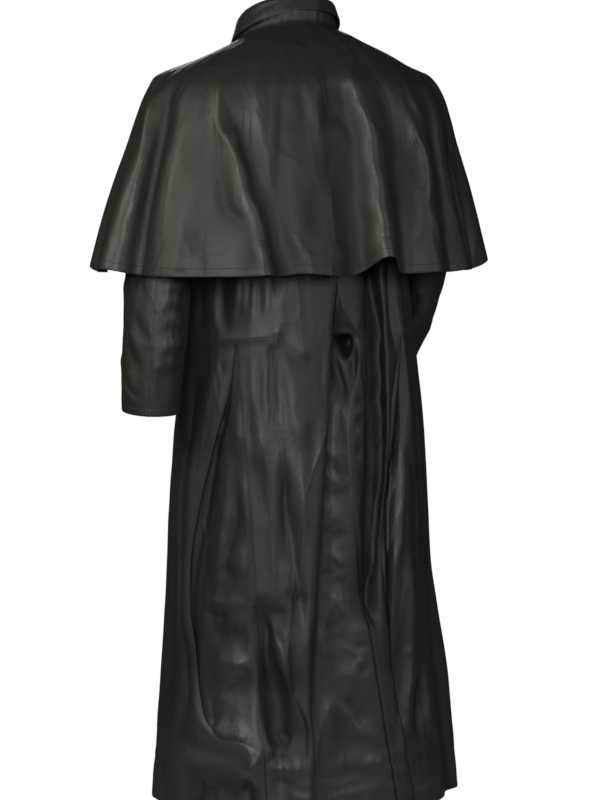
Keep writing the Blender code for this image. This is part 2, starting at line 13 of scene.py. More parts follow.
import bpy
import numpy as np
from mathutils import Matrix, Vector


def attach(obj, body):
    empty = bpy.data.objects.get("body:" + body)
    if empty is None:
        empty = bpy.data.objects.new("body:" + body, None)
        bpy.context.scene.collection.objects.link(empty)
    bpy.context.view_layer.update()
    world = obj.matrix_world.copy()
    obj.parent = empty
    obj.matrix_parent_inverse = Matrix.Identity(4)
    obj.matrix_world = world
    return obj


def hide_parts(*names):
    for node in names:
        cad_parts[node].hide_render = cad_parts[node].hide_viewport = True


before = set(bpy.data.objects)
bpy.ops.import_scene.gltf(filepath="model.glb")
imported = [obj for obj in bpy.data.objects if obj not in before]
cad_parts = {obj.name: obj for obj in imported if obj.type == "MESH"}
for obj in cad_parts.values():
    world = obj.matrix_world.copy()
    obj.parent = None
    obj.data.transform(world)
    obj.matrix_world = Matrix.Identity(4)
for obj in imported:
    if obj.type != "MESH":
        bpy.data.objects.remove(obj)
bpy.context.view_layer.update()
LOG = logging.getLogger("leather_coat")
MM = 0.001
PER_METRE = 1000
TINY = 1e-9
NOISE_CELLS = 64
NOISE_GAIN = 1.5
# Rows of stitches lie this far in from a seam or a hem
SEAM_INSET_MM = 3.0
HEM_INSET_MM = 14.0
# How soon the armhole turns down from the back to the side
ARMHOLE_CURVE = 0.8
Array = np.ndarray


class Side(Enum):
    """The wearer's left or right."""

    LEFT = 1
    RIGHT = -1


class Edge(Enum):
    """The four edges of a cut piece, as it lies on its grid."""

    START = "start"
    END = "end"
    LOW = "low"
    HIGH = "high"


class Ring(NamedTuple):
    """One level of a form: a flattened oval round the body."""

    z: float
    half_width: float
    back: float
    front: float
    centre: float
    power: float
    sway: float


class SkirtLine(NamedTuple):
    """Angle of a skirt line at each level."""

    hem: float
    knee: float
    thigh: float
    hip: float
    waist: float

    def mirrored(self) -> "SkirtLine":
        """The same line on the other side."""
        return SkirtLine(*(-angle for angle in self))


class BodiceLine(NamedTuple):
    """Angle of a bodice line at each level."""

    waist: float
    rib: float
    underarm: float
    blade: float
    cap: float
    tip: float
    neck: float

    def mirrored(self) -> "BodiceLine":
        """The same line on the other side."""
        return BodiceLine(*(-angle for angle in self))


class Fold(NamedTuple):
    """A large fold down the body, out where it is a ridge and in where it is a trough."""

    top_angle: float
    low_angle: float
    top_z: float
    low_z: float
    width: float
    out_mm: float


class Flute(NamedTuple):
    """A wave of the cape that grows from the shoulder to the hem."""

    top_angle: float
    hem_angle: float
    width: float
    out_mm: float
    lift_mm: float


class Opening(NamedTuple):
    """How far an open edge turns away at a level, in degrees."""

    z: float
    turn: float


class ArmRing(NamedTuple):
    """One section of a sleeve, between the arm's outer and inner lines."""

    outer_x: float
    outer_y: float
    outer_z: float
    inner_x: float
    inner_y: float
    inner_z: float
    half_depth: float


class Crease(NamedTuple):
    """A soft fold along a path, out for a ridge and in for a trough.

    A place on the path is in degrees round the form and millimetres down it. The width changes by the factor
    widen along the path, and the fold fades in and out over the shares start and end of its length.
    """

    path: tuple[tuple[float, float], ...]
    width_mm: float
    out_mm: float
    widen: float = 1.0
    start: float = 0.4
    end: float = 0.4


class Roll(NamedTuple):
    """An edge that turns under: how deep and how far in, and the share of that at each level."""

    edge: Edge
    depth_mm: float
    reach_mm: float
    shares: tuple[tuple[float, float], ...] = ()


class Crumple(NamedTuple):
    """A patch of small uneven wrinkles: its middle, its reach, and the size of a wrinkle."""

    angle: float
    down: float
    reach_angle: float
    reach_down: float
    across_mm: float
    along_mm: float
    out_mm: float
    slant: float = 0.0


def monotone(at: Array, knots: Sequence[float], values: Sequence[float]) -> Array:
    """Go smoothly through a table without overshooting it.

    Args:
        at: Places to read.
        knots: Rising places of the table.
        values: The table's values there.

    Returns:
        The value at each place.
    """
    knots = np.asarray(knots, float)
    values = np.asarray(values, float)
    at = np.clip(np.asarray(at, float), knots[0], knots[-1])
    gap = np.diff(knots)
    slope_between = np.diff(values) / gap
    slope = np.concatenate([slope_between[:1], np.zeros(len(gap) - 1), slope_between[-1:]])
    same = slope_between[:-1] * slope_between[1:] > 0
    product = 2 * slope_between[:-1] * slope_between[1:]
    slope[1:-1][same] = product[same] / (slope_between[:-1] + slope_between[1:])[same]
    i = np.clip(np.searchsorted(knots, at) - 1, 0, len(gap) - 1)
    t = (at - knots[i]) / gap[i]
    blend = t * t * (3 - 2 * t)
    bend = gap[i] * t * (1 - t) * (slope[i] * (1 - t) - slope[i + 1] * t)
    return values[i] * (1 - blend) + values[i + 1] * blend + bend


def rise(low: float, high: float, at: Array) -> Array:
    """Rise smoothly from 0 at low to 1 at high."""
    t = np.clip((at - low) / (high - low), 0.0, 1.0)
    return t * t * (3 - 2 * t)


def mix(first: Array, second: Array, share: Array) -> Array:
    """Go straight from the first value, at share 0, to the second, at share 1."""
    return first + (second - first) * share


def hump(distance: Array, width: Array) -> Array:
    """A soft ridge of height 1 that has mostly faded at a distance of its width."""
    return np.exp(-((distance / width) ** 2))


def signed_power(value: Array, power: Array) -> Array:
    """Raise a number's size to a power and keep its sign."""
    return np.sign(value) * np.abs(value) ** power


def turn_between(angle: Array, line: Array) -> Array:
    """Shortest turn from a line to an angle, from -180 to 180 degrees."""
    return (angle - line + 180.0) % 360.0 - 180.0


def ripple(x: Array, y: Array, seed: int) -> Array:
    """Even gradient noise with one wave to a unit.

    Args:
        x: Places across.
        y: Places along.
        seed: Which pattern.

    Returns:
        Noise from about -1 to 1.
    """
    turns = np.random.default_rng(seed).uniform(0, 2 * math.pi, (NOISE_CELLS, NOISE_CELLS))
    column = np.floor(x).astype(int)
    row = np.floor(y).astype(int)
    fx = x - column
    fy = y - row
    total = np.zeros_like(fx)
    for dx in (0, 1):
        for dy in (0, 1):
            turn = turns[(row + dy) % NOISE_CELLS, (column + dx) % NOISE_CELLS]
            slope = np.cos(turn) * (fx - dx) + np.sin(turn) * (fy - dy)
            total += slope * (1 - rise(0, 1, np.abs(fx - dx))) * (1 - rise(0, 1, np.abs(fy - dy)))
    return total * NOISE_GAIN


@dataclass(frozen=True)
class Relief:
    """The creases and crumpled patches of one form, over its large folds.

    Slack gives every form broad, shallow waves. A crease strays a little from its path, and the leather's
    stiffness widens and lowers it. One flank is the steeper, and which one changes at the centre back.
    """

    creases: tuple[Crease, ...]
    crumples: tuple[Crumple, ...]
    mm_per_degree: float
    seed: int
    slack_mm: float = 0.9
    slack_wave_mm: tuple[float, float] = (34.0, 130.0)
    small_slack: float = 0.4
    small_wave_mm: tuple[float, float] = (15.0, 48.0)
    stray_mm: float = 3.0
    stray_wave_mm: float = 45.0
    stiffness_mm: float = 2.0
    stiffness_power: float = 1.5
    reach_widths: float = 3.0
    lean: float = 0.5
    lean_right: float = 0.0
    lean_left: float = 25.0
    lean_way: tuple[float, float] = (0.8, 0.6)
    crest_mm: float = 1.5
    sharpness: float = 1.35
    line_steps: int = 4
    crumple_bend: float = 0.35
    bend_scale: float = 0.7
    sharp_level: float = 0.5
    sharp_slope: float = 1.6
    sharp_share: float = 0.75
    soft_scale: tuple[float, float] = (0.45, 0.5)
    soft_share: float = 0.7
    crumple_seed: int = 10
    bend_seed: int = 100
    soft_seed: int = 200

    def depth(self, angle: Array, level: Array) -> Array:
        """How far the leather stands out.

        Args:
            angle: Angles round the form.
            level: Heights or lengths along it, in metres.

        Returns:
            Metres out from the plain form.
        """
        x = angle * self.mm_per_degree
        y = level / MM
        across, along = self.slack_wave_mm
        total = self.slack_mm * ripple(x / across, y / along, self.seed)
        across, along = self.small_wave_mm
        total += self.small_slack * self.slack_mm * ripple(x / across, y / along, self.seed + 1)
        across, along = x / self.stray_wave_mm, y / self.stray_wave_mm
        x = x + self.stray_mm * ripple(across, along, self.seed + 2)
        y = y + self.stray_mm * ripple(across, along, self.seed + 3)
        for crease in self.creases:
            total += self.crease_depth(crease, x, y)
        for number, crumple in enumerate(self.crumples):
            total += self.crumple_depth(crumple, x, y, self.seed + self.crumple_seed + number)
        return total * MM

    def crease_depth(self, crease: Crease, x: Array, y: Array) -> Array:
        """Height of one crease.

        Args:
            crease: The crease.
            x: Places across, in millimetres.
            y: Places along, in millimetres.

        Returns:
            Millimetres out.
        """
        knots = np.array(crease.path) * (self.mm_per_degree, -1)
        stations = np.arange(len(knots))
        steps = np.linspace(0, stations[-1], stations[-1] * self.line_steps + 1)
        line = np.stack([monotone(steps, stations, knots[:, axis]) for axis in (0, 1)], axis=-1)
        travelled = np.concatenate([[0.0], np.cumsum(np.linalg.norm(np.diff(line, axis=0), axis=1))])
        shares = travelled / travelled[-1]
        width = crease.width_mm + self.stiffness_mm
        height = crease.out_mm * (crease.width_mm / width) ** self.stiffness_power
        reach = self.reach_widths * width * max(1.0, crease.widen)
        low = line.min(axis=0) - reach
        high = line.max(axis=0) + reach
        near = (x > low[0]) & (x < high[0]) & (y > low[1]) & (y < high[1])
        px, py = x[near], y[near]
        best = np.full(px.shape, np.inf)
        along = np.zeros(px.shape)
        facing = np.zeros(px.shape)
        for number in range(len(line) - 1):
            first, step = line[number], line[number + 1] - line[number]
            dx, dy = px - first[0], py - first[1]
            share = np.clip((dx * step[0] + dy * step[1]) / (step @ step), 0, 1)
            off_x, off_y = dx - share * step[0], dy - share * step[1]
            away = np.hypot(off_x, off_y)
            closer = away < best
            best = np.where(closer, away, best)
            toward = self.lean_way[0] * off_x + self.lean_way[1] * off_y
            facing = np.where(closer, toward / (away + self.crest_mm), facing)
            along = np.where(closer, mix(shares[number], shares[number + 1], share), along)
        lean = self.lean * mix(-1, 1, rise(self.lean_right, self.lean_left, px / self.mm_per_degree))
        spread = width * mix(1.0, crease.widen, along) * (1 + lean * math.copysign(1, height) * facing)
        rounded = np.hypot(best, self.crest_mm) - self.crest_mm
        shape = np.exp(-((rounded / spread) ** self.sharpness))
        if crease.start > 0:
            shape *= rise(0, crease.start, along)
        if crease.end > 0:
            shape *= rise(0, crease.end, 1 - along)
        total = np.zeros_like(x)
        total[near] = height * shape
        return total

    def crumple_depth(self, crumple: Crumple, x: Array, y: Array, seed: int) -> Array:
        """Height of one crumpled patch.

        Args:
            crumple: The patch.
            x: Places across, in millimetres.
            y: Places along, in millimetres.
            seed: Which pattern.

        Returns:
            Millimetres out.
        """
        dx = x - crumple.angle * self.mm_per_degree
        dy = y + crumple.down
        window = hump(dx, crumple.reach_angle * self.mm_per_degree) * hump(dy, crumple.reach_down)
        cosine, sine = math.cos(math.radians(crumple.slant)), math.sin(math.radians(crumple.slant))
        across = (dx * cosine + dy * sine) / crumple.across_mm
        along = (dy * cosine - dx * sine) / crumple.along_mm
        bend = ripple(along * self.bend_scale, across * self.bend_scale, seed + self.bend_seed)
        bend = self.crumple_bend * bend
        sharp = self.sharp_level - self.sharp_slope * np.abs(ripple(across + bend, along, seed))
        wide, long = self.soft_scale
        soft = ripple(across * wide + bend, along * long, seed + self.soft_seed)
        return crumple.out_mm * window * (self.sharp_share * sharp + self.soft_share * soft)


class Form(Protocol):
    """A shape that leather is laid on."""

    def point(self, angle: Array, level: Array, out: Array) -> Array:
        """Place of a spot on the form."""


@dataclass(frozen=True)
class Stack:
    """A stack of rings, tilted at the neck."""

    rings: tuple[Ring, ...]
    neck_tilt: float = 0.34
    neck_back: float = 0.045
    tilt_reach: float = 0.13

    def spot(self, angle: Array, z: Array, out: Array) -> Array:
        """Point on the stack, moved out square to its ring.

        Args:
            angle: Angles round the body.
            z: Heights.
            out: Distance out from the ring.

        Returns:
            Points, with x, y and z last.
        """
        columns = Ring(*np.array(self.rings).T)
        half_width, back, front, centre, power, sway = (monotone(z, columns.z, c) for c in columns[1:])
        sine = np.sin(np.radians(angle))
        cosine = np.cos(np.radians(angle))
        depth = np.where(cosine > 0, back, front)
        x = half_width * signed_power(sine, 2 / power)
        y = depth * signed_power(cosine, 2 / power)
        normal_x = signed_power(x / half_width, power - 1) / half_width
        normal_y = signed_power(y / depth, power - 1) / depth
        length = np.hypot(normal_x, normal_y)
        x = x + out * normal_x / length + sway
        y = y + out * normal_y / length + centre
        tilt = self.neck_tilt * rise(-self.tilt_reach, 0.0, z)
        return np.stack([x, y, z + tilt * (y - self.neck_back)], axis=-1)


# Levels of the figure below the back neck seam
NECK_TOP = -0.004
TIP = -0.085
BLADE = -0.19
UNDERARM = -0.283
RIB = -0.42
WAIST = -0.523
HEM = -1.32
SKIRT_LEVELS = (HEM, -1.07, -0.915, -0.71, WAIST)
BODICE_LEVELS = (WAIST, RIB, UNDERARM, BLADE, -0.12, TIP, 0.0)

# Rings of the body and of the cape, from hem to neck
BODY_STACK = Stack((
    Ring(-1.34, 0.262, 0.232, 0.205, 0.000, 2.00, -0.006),
    Ring(-1.12, 0.243, 0.206, 0.190, 0.000, 2.00, -0.005),
    Ring(-0.92, 0.229, 0.188, 0.175, 0.000, 2.05, -0.004),
    Ring(-0.70, 0.217, 0.176, 0.165, 0.000, 2.10, -0.002),
    Ring(-0.54, 0.202, 0.163, 0.150, 0.000, 2.15, 0.001),
    Ring(-0.42, 0.192, 0.155, 0.142, 0.000, 2.20, 0.005),
    Ring(-0.29, 0.187, 0.153, 0.136, 0.000, 2.30, 0.010),
    Ring(-0.22, 0.186, 0.152, 0.130, 0.000, 2.40, 0.011),
    Ring(-0.14, 0.192, 0.146, 0.122, 0.000, 2.40, 0.012),
    Ring(-0.085, 0.192, 0.130, 0.112, -0.008, 2.30, 0.012),
    Ring(-0.060, 0.152, 0.112, 0.102, -0.016, 2.20, 0.012),
    Ring(-0.030, 0.106, 0.092, 0.092, -0.028, 2.10, 0.011),
    Ring(-0.004, 0.079, 0.078, 0.080, -0.035, 2.00, 0.010),
))

CAPE_STACK = Stack((
    Ring(-0.440, 0.348, 0.226, 0.198, 0.000, 2.10, 0.019),
    Ring(-0.300, 0.316, 0.200, 0.174, 0.000, 2.20, 0.016),
    Ring(-0.200, 0.284, 0.180, 0.156, 0.000, 2.35, 0.013),
    Ring(-0.160, 0.272, 0.172, 0.149, 0.000, 2.40, 0.012),
    Ring(-0.135, 0.263, 0.166, 0.144, 0.000, 2.40, 0.012),
    Ring(-0.115, 0.250, 0.160, 0.139, 0.000, 2.40, 0.012),
    Ring(-0.085, 0.221, 0.146, 0.130, -0.008, 2.30, 0.012),
    Ring(-0.060, 0.183, 0.130, 0.119, -0.016, 2.20, 0.012),
    Ring(-0.030, 0.131, 0.108, 0.106, -0.028, 2.10, 0.011),
    Ring(0.001, 0.087, 0.085, 0.087, -0.035, 2.00, 0.010),
    Ring(0.024, 0.0845, 0.0835, 0.0845, -0.035, 2.00, 0.010),
))

# Seam and edge lines: the angle at each level
VENT_LEFT = SkirtLine(18.0, 16.5, 13.0, 8.0, 3.0)
VENT_RIGHT = SkirtLine(-17.5, -10.5, -6.0, -1.2, -2.2)
PANEL_LEFT = SkirtLine(25.0, 26.0, 27.0, 28.0, 32.0)
PANEL_RIGHT = SkirtLine(-22.0, -14.5, -12.0, -17.0, -32.0)
PLEAT_SEAM_LEFT = SkirtLine(35.5, 39.0, 41.7, 46.5, 53.0)
PLEAT_SEAM_RIGHT = SkirtLine(-26.0, -18.5, -18.0, -24.0, -36.0)
SIDE_LEFT = SkirtLine(95.0, 94.0, 93.0, 92.0, 92.0)
BACK_EDGE = BodiceLine(32.0, 33.0, 43.0, 61.0, 72.0, 90.0, 90.0)
FRONT_EDGE = BodiceLine(92.0, 92.0, 92.0, 119.0, 110.0, 90.0, 90.0)
# How far the vent's right edge turns away, and how wide each side pleat stands open
VENT_GAPE = (
    Opening(-0.680, 0.0),
    Opening(-0.630, -1.6),
    Opening(-0.594, -4.6),
    Opening(-0.550, -6.8),
    Opening(-0.528, -7.2),
    Opening(-0.512, -5.0),
    Opening(-0.496, -2.2),
    Opening(-0.470, -0.6),
    Opening(-0.440, 0.0),
)
PLEAT_LEFT = (
    Opening(-1.205, 0.3),
    Opening(-1.192, 6.0),
    Opening(-1.182, 18.0),
    Opening(-1.150, 27.0),
    Opening(-1.070, 33.0),
    Opening(-0.980, 37.5),
    Opening(-0.915, 36.3),
    Opening(-0.820, 30.5),
    Opening(-0.710, 19.5),
    Opening(-0.610, 7.0),
    Opening(WAIST, 0.4),
)
PLEAT_RIGHT = (
    Opening(-1.010, -0.3),
    Opening(-0.960, -2.4),
    Opening(-0.860, -4.6),
    Opening(-0.710, -4.6),
    Opening(-0.600, -2.4),
    Opening(WAIST, -0.4),
)

# Large folds of the body, by angle and height at both ends, with the width in degrees
BODY_FOLDS = (
    Fold(30.0, 19.0, -0.68, -1.04, 3.6, -9.0),
    Fold(37.0, 19.0, -0.96, -1.20, 4.5, 8.0),
    Fold(36.0, 29.0, -1.02, -1.34, 4.0, -9.0),
    Fold(18.0, 20.0, -1.00, -1.60, 4.5, 7.0),
    Fold(25.0, 20.0, -0.52, -0.72, 5.0, 6.0),
    Fold(78.0, 84.0, -0.62, -1.20, 5.0, 9.0),
    Fold(88.0, 70.0, -0.80, -1.60, 6.0, -10.0),
    Fold(-22.0, -9.0, -0.36, -0.98, 3.2, -10.0),
    Fold(-27.0, -18.0, -0.38, -0.86, 3.0, 5.0),
    Fold(-34.0, -31.0, -0.34, -0.56, 3.2, -8.0),
    Fold(-41.0, -28.0, -0.40, -1.20, 4.2, 10.0),
    Fold(-56.0, -62.0, -0.66, -1.60, 6.0, -11.0),
    Fold(-70.0, -66.0, -0.90, -1.70, 9.0, 17.0),
    Fold(-88.0, -94.0, -0.75, -1.60, 6.0, -9.0),
    Fold(106.0, 112.0, -0.60, -1.60, 7.0, 10.0),
    Fold(124.0, 130.0, -0.66, -1.60, 6.0, -11.0),
    Fold(143.0, 146.0, -0.58, -1.60, 7.0, 9.0),
    Fold(-108.0, -114.0, -0.62, -1.60, 7.0, 9.0),
    Fold(-128.0, -130.0, -0.58, -1.60, 6.0, -10.0),
    Fold(-146.0, -150.0, -0.70, -1.60, 7.0, 8.0),
)

# Flutes of the cape, by angle at the shoulder and at the hem, with the width in degrees
CAPE_FLUTES = (
    Flute(166.0, 158.0, 7.0, 18.0, 8.0),
    Flute(150.0, 144.0, 6.0, -14.0, 0.0),
    Flute(136.0, 128.0, 7.5, 20.0, 10.0),
    Flute(118.0, 112.0, 6.0, -12.0, 0.0),
    Flute(96.0, 98.0, 7.0, 14.0, 12.0),
    Flute(84.0, 80.0, 6.5, 26.0, 10.0),
    Flute(74.0, 69.0, 5.5, -24.0, 0.0),
    Flute(56.0, 52.0, 9.0, 7.0, 0.0),
    Flute(48.0, 22.0, 5.5, 16.0, 2.0),
    Flute(40.0, 15.5, 5.0, -15.0, 0.0),
    Flute(20.0, 11.0, 6.0, 8.0, 4.0),
    Flute(2.0, -4.0, 4.2, -18.0, -4.0),
    Flute(-8.0, -10.0, 5.0, 25.0, 30.0),
    Flute(-18.0, -20.0, 5.0, -16.0, 0.0),
    Flute(-31.0, -29.0, 6.0, 13.0, 3.0),
    Flute(-40.0, -38.5, 4.6, -12.0, 0.0),
    Flute(-48.0, -48.0, 5.5, 14.0, 6.0),
    Flute(-58.0, -58.0, 5.5, -20.0, 0.0),
    Flute(-72.0, -71.0, 7.5, 17.0, 16.0),
    Flute(-90.0, -92.0, 7.0, -14.0, 6.0),
    Flute(-114.0, -115.0, 13.0, 40.0, 8.0),
    Flute(-136.0, -136.0, 6.0, -12.0, 0.0),
    Flute(-148.0, -146.0, 7.0, 17.0, 8.0),
    Flute(-166.0, -160.0, 6.0, -12.0, 0.0),
)

# Sections of each sleeve, from shoulder to cuff
LEFT_ARM = (
    ArmRing(0.232, 0.000, -0.106, 0.201, 0.000, -0.289, 0.074),
    ArmRing(0.256, 0.001, -0.138, 0.204, 0.001, -0.297, 0.073),
    ArmRing(0.275, 0.004, -0.185, 0.207, 0.004, -0.309, 0.071),
    ArmRing(0.291, 0.010, -0.250, 0.209, 0.010, -0.332, 0.068),
    ArmRing(0.310, 0.020, -0.330, 0.213, 0.020, -0.374, 0.064),
    ArmRing(0.324, 0.030, -0.410, 0.217, 0.030, -0.427, 0.061),
    ArmRing(0.331, 0.032, -0.505, 0.225, 0.032, -0.511, 0.057),
    ArmRing(0.333, 0.028, -0.585, 0.232, 0.028, -0.586, 0.053),
    ArmRing(0.331, 0.022, -0.648, 0.236, 0.022, -0.648, 0.050),
)
RIGHT_ARM = (
    ArmRing(-0.212, -0.002, -0.106, -0.181, -0.003, -0.289, 0.074),
    ArmRing(-0.236, -0.006, -0.138, -0.184, -0.008, -0.297, 0.073),
    ArmRing(-0.255, -0.012, -0.185, -0.187, -0.015, -0.309, 0.071),
    ArmRing(-0.272, -0.022, -0.250, -0.191, -0.025, -0.332, 0.068),
    ArmRing(-0.288, -0.036, -0.335, -0.198, -0.038, -0.377, 0.064),
    ArmRing(-0.298, -0.052, -0.415, -0.202, -0.056, -0.438, 0.061),
    ArmRing(-0.294, -0.082, -0.492, -0.197, -0.087, -0.505, 0.057),
    ArmRing(-0.284, -0.122, -0.556, -0.187, -0.126, -0.568, 0.053),
    ArmRing(-0.273, -0.164, -0.614, -0.179, -0.168, -0.625, 0.050),
)

# Folds of the body, in degrees and millimetres below the neck seam, then width and height in millimetres
BODY_CREASES = (
    # bodice beside the left sleeve
    Crease(((81, 415), (80, 460), (76, 505)), 12, -6.0),
    Crease(((70.5, 430), (68.5, 470), (65, 495), (59.5, 512)), 9, 5.0),
    Crease(((63, 405), (62.5, 465), (58.5, 495), (55, 512)), 12, -9.0, start=0.1),
    Crease(((52.5, 415), (52, 475)), 5, 3.0),
    Crease(((50, 420), (50, 490)), 5, -3.0),
    Crease(((44.5, 405), (44.5, 490)), 5, -4.0),
    Crease(((42, 420), (42.5, 506)), 5, 3.0),
    Crease(((39.5, 415), (39, 500)), 5, -3.0),
    Crease(((35.5, 415), (35, 500)), 5, 2.0),
    Crease(((30.5, 405), (30.5, 465)), 8, -4.0),
    # raised band over each waist seam, and the pucker where the left one ends
    Crease(((76, 514), (54, 515), (32, 514)), 5, 2.6, start=0.1, end=0.1),
    Crease(((-76, 514), (-54, 515), (-32, 514)), 5, 2.6, start=0.1, end=0.1),
    Crease(((76, 529), (54, 529), (33, 529)), 4, -1.6, start=0.1, end=0.1),
    Crease(((-76, 529), (-54, 529), (-33, 529)), 4, -1.6, start=0.1, end=0.1),
    Crease(((35, 506), (31, 511), (25, 513)), 6, 2.4),
    Crease(((33, 520), (28, 535), (24.5, 545), (19.5, 560), (10, 578)), 11, -4.6, start=0.3),
    Crease(((28, 512), (21, 536), (11, 556)), 12, 3.0),
    # gathers under the waist seam
    Crease(((33.5, 528), (33.5, 625), (33, 680)), 7, -5.5, start=0.1),
    Crease(((30, 535), (30.5, 700)), 8, 3.6),
    Crease(((47, 540), (45, 640)), 6, -2.2),
    Crease(((43.5, 540), (42.5, 650)), 7, 2.2),
    Crease(((39.5, 530), (38.5, 690)), 7, -3.0),
    Crease(((36.8, 535), (35.5, 700)), 7, 2.8),
    Crease(((61.5, 545), (60, 592)), 5, -3.0),
    Crease(((64.5, 540), (63, 582)), 5, 2.2),
    # left back, hip to knee
    Crease(((45.5, 612), (44.5, 665), (43.5, 720)), 8, -6.0),
    Crease(((40.5, 620), (38.5, 745)), 10, 3.4),
    Crease(((44, 690), (39.5, 760), (34.5, 840)), 14, -6.0),
    Crease(((27, 715), (27.5, 790), (27, 840), (28.5, 880)), 7, -6.5),
    Crease(((30, 680), (30, 740), (29.3, 825)), 6, 3.6),
    Crease(((24.3, 690), (24.3, 835)), 7, 3.2),
    Crease(((8, 530), (9, 625), (10.5, 700)), 4, -3.0),
    Crease(((21, 610), (19, 760), (18.5, 905)), 16, 7.0),
    Crease(((15.5, 630), (15, 865)), 11, -5.0),
    Crease(((29, 880), (25, 925), (22, 964)), 6, 4.6),
    Crease(((20.5, 845), (20.5, 957)), 6, 3.6),
    Crease(((26.5, 934), (23, 958), (19.5, 937)), 6, -4.6),
    Crease(((38, 969), (32, 976), (26, 969)), 6, -4.0),
    # left back, knee to hem
    Crease(((39, 940), (37, 1035), (35, 1085), (33.5, 1120), (30, 1235)),
           14, -28.0, widen=1.5, start=0.25, end=0.2),
    Crease(((36, 985), (29.5, 1035), (24.5, 1110)), 20, 14.0),
    Crease(((33.5, 1181), (26.5, 1187)), 12, -6.0),
    Crease(((37, 1199), (30.5, 1202), (25, 1199)), 9, 4.0),
    Crease(((37, 1210), (32.5, 1218), (25, 1214)), 8, -4.0),
    Crease(((36, 1223), (31, 1230), (26, 1228)), 7, 4.0),
    Crease(((26, 1000), (24, 1105), (21.5, 1180), (22, 1250)), 13, -13.0),
    Crease(((14, 960), (14.5, 1080), (14, 1200)), 14, -9.0),
    Crease(((22, 1195), (25, 1262)), 6, 3.6),
    Crease(((22, 1188), (20, 1255)), 6, -3.6),
    Crease(((17.5, 1120), (18, 1262)), 11, 7.0),
    # left side: the rim of the pleat, and the hollow under it
    Crease(((79, 840), (82, 900), (82.5, 980), (79, 1040), (73.5, 1095), (69, 1150), (60, 1196)), 8, 4.0),
    Crease(((79, 1275), (57, 1272), (39, 1262)), 40, -26.0, start=0.2, end=0.15),
    Crease(((37, 1205), (43.5, 1240), (51, 1290)), 10, 13.0),
    Crease(((80, 555), (84, 640), (87, 770)), 10, -11.0),
    Crease(((66, 560), (71, 660), (75, 740)), 14, 4.0),
    Crease(((84, 980), (79, 1110), (74, 1190)), 11, -10.0),
    Crease(((91, 680), (90, 900), (86, 1120)), 12, 9.0),
    Crease(((96, 800), (96, 1000), (93, 1200)), 12, -9.0),
    Crease(((92, 1188), (70, 1198), (45, 1204), (18, 1198)), 50, 12.0, start=0.2, end=0.3),
    # vent: the bright strip beside its left edge, and its right edge
    Crease(((5, 540), (8.5, 620), (13, 740), (16.5, 900), (19.5, 1060)), 8, 2.6, widen=1.4),
    Crease(((-13.5, 495), (-13, 580), (-11, 645)), 8, 4.0),
    Crease(((-3.2, 634), (-7, 632), (-10.8, 629)), 4, -3.2),
    Crease(((-3.6, 649), (-10.4, 645)), 5, 3.0),
    Crease(((-3.8, 666), (-10, 665)), 4, -3.2),
    Crease(((-4, 683), (-8, 681), (-10.4, 676)), 5, 3.2),
    Crease(((-4.2, 713), (-10, 707)), 4, -3.0),
    Crease(((-4.4, 729), (-10, 726)), 5, 2.6),
    Crease(((-4.8, 764), (-10, 757)), 5, -2.6),
    # right back and right side
    Crease(((-22.5, 395), (-21, 530), (-18.5, 630), (-17.5, 715), (-16, 800), (-14.5, 875), (-11, 960),
            (-10.5, 1015)), 10, -40.0, widen=1.1, start=0.02, end=0.08),
    Crease(((-21.5, 565), (-19, 715), (-18, 830), (-16, 910)), 5, 5.0),
    Crease(((-32.5, 575), (-30, 685), (-29, 765), (-26.5, 850), (-23, 900), (-18, 990)), 11, 12.0),
    Crease(((-36, 640), (-34, 820), (-31, 960)), 11, -9.0),
    Crease(((-46, 560), (-47, 760), (-48, 1000)), 13, -9.0),
    Crease(((-41, 600), (-41, 800), (-39, 960)), 11, 7.0),
    Crease(((-30, 1050), (-23.5, 1170), (-21, 1240)), 13, 12.0),
    Crease(((-36, 1080), (-30, 1225)), 13, -11.0),
    Crease(((-25, 1062), (-31.5, 1049)), 6, 3.4),
    Crease(((-33, 989), (-46, 996)), 7, 3.4),
    Crease(((-20, 1040), (-21.5, 1100)), 9, -3.4),
    Crease(((-42, 1060), (-38, 1230)), 12, 8.0),
    Crease(((-60, 1135), (-62, 1230), (-64, 1310)), 10, -8.0, end=0.0),
    # hem
    Crease(((12, 1290), (2, 1283), (-8, 1291)), 7, 4.0),
    Crease(((30, 1268), (22, 1279), (12, 1271)), 7, 3.6),
    Crease(((34, 1252), (24, 1257)), 5, -3.0),
    Crease(((-20, 1268), (-30, 1277), (-42, 1270)), 7, 3.6),
    # fronts and sides that the photo does not show
    Crease(((104, 520), (108, 700), (110, 900)), 12, 4.0),
    Crease(((118, 540), (120, 800), (121, 1040)), 10, -5.0),
    Crease(((133, 500), (134, 680), (136, 860)), 10, 3.6),
    Crease(((150, 560), (152, 840), (153, 1120)), 11, -4.4),
    Crease(((112, 980), (119, 1110), (122, 1240)), 12, 5.0),
    Crease(((140, 930), (137, 1080), (134, 1230)), 10, -5.0),
    Crease(((-104, 540), (-107, 750), (-109, 960)), 12, 4.0),
    Crease(((-120, 520), (-122, 760), (-123, 1000)), 10, -5.0),
    Crease(((-137, 560), (-136, 750), (-134, 940)), 10, 3.6),
    Crease(((-153, 540), (-152, 810), (-151, 1080)), 11, -4.4),
    Crease(((-116, 1000), (-122, 1120), (-126, 1240)), 12, 5.0),
    Crease(((-142, 950), (-139, 1090), (-136, 1230)), 10, -5.0),
)
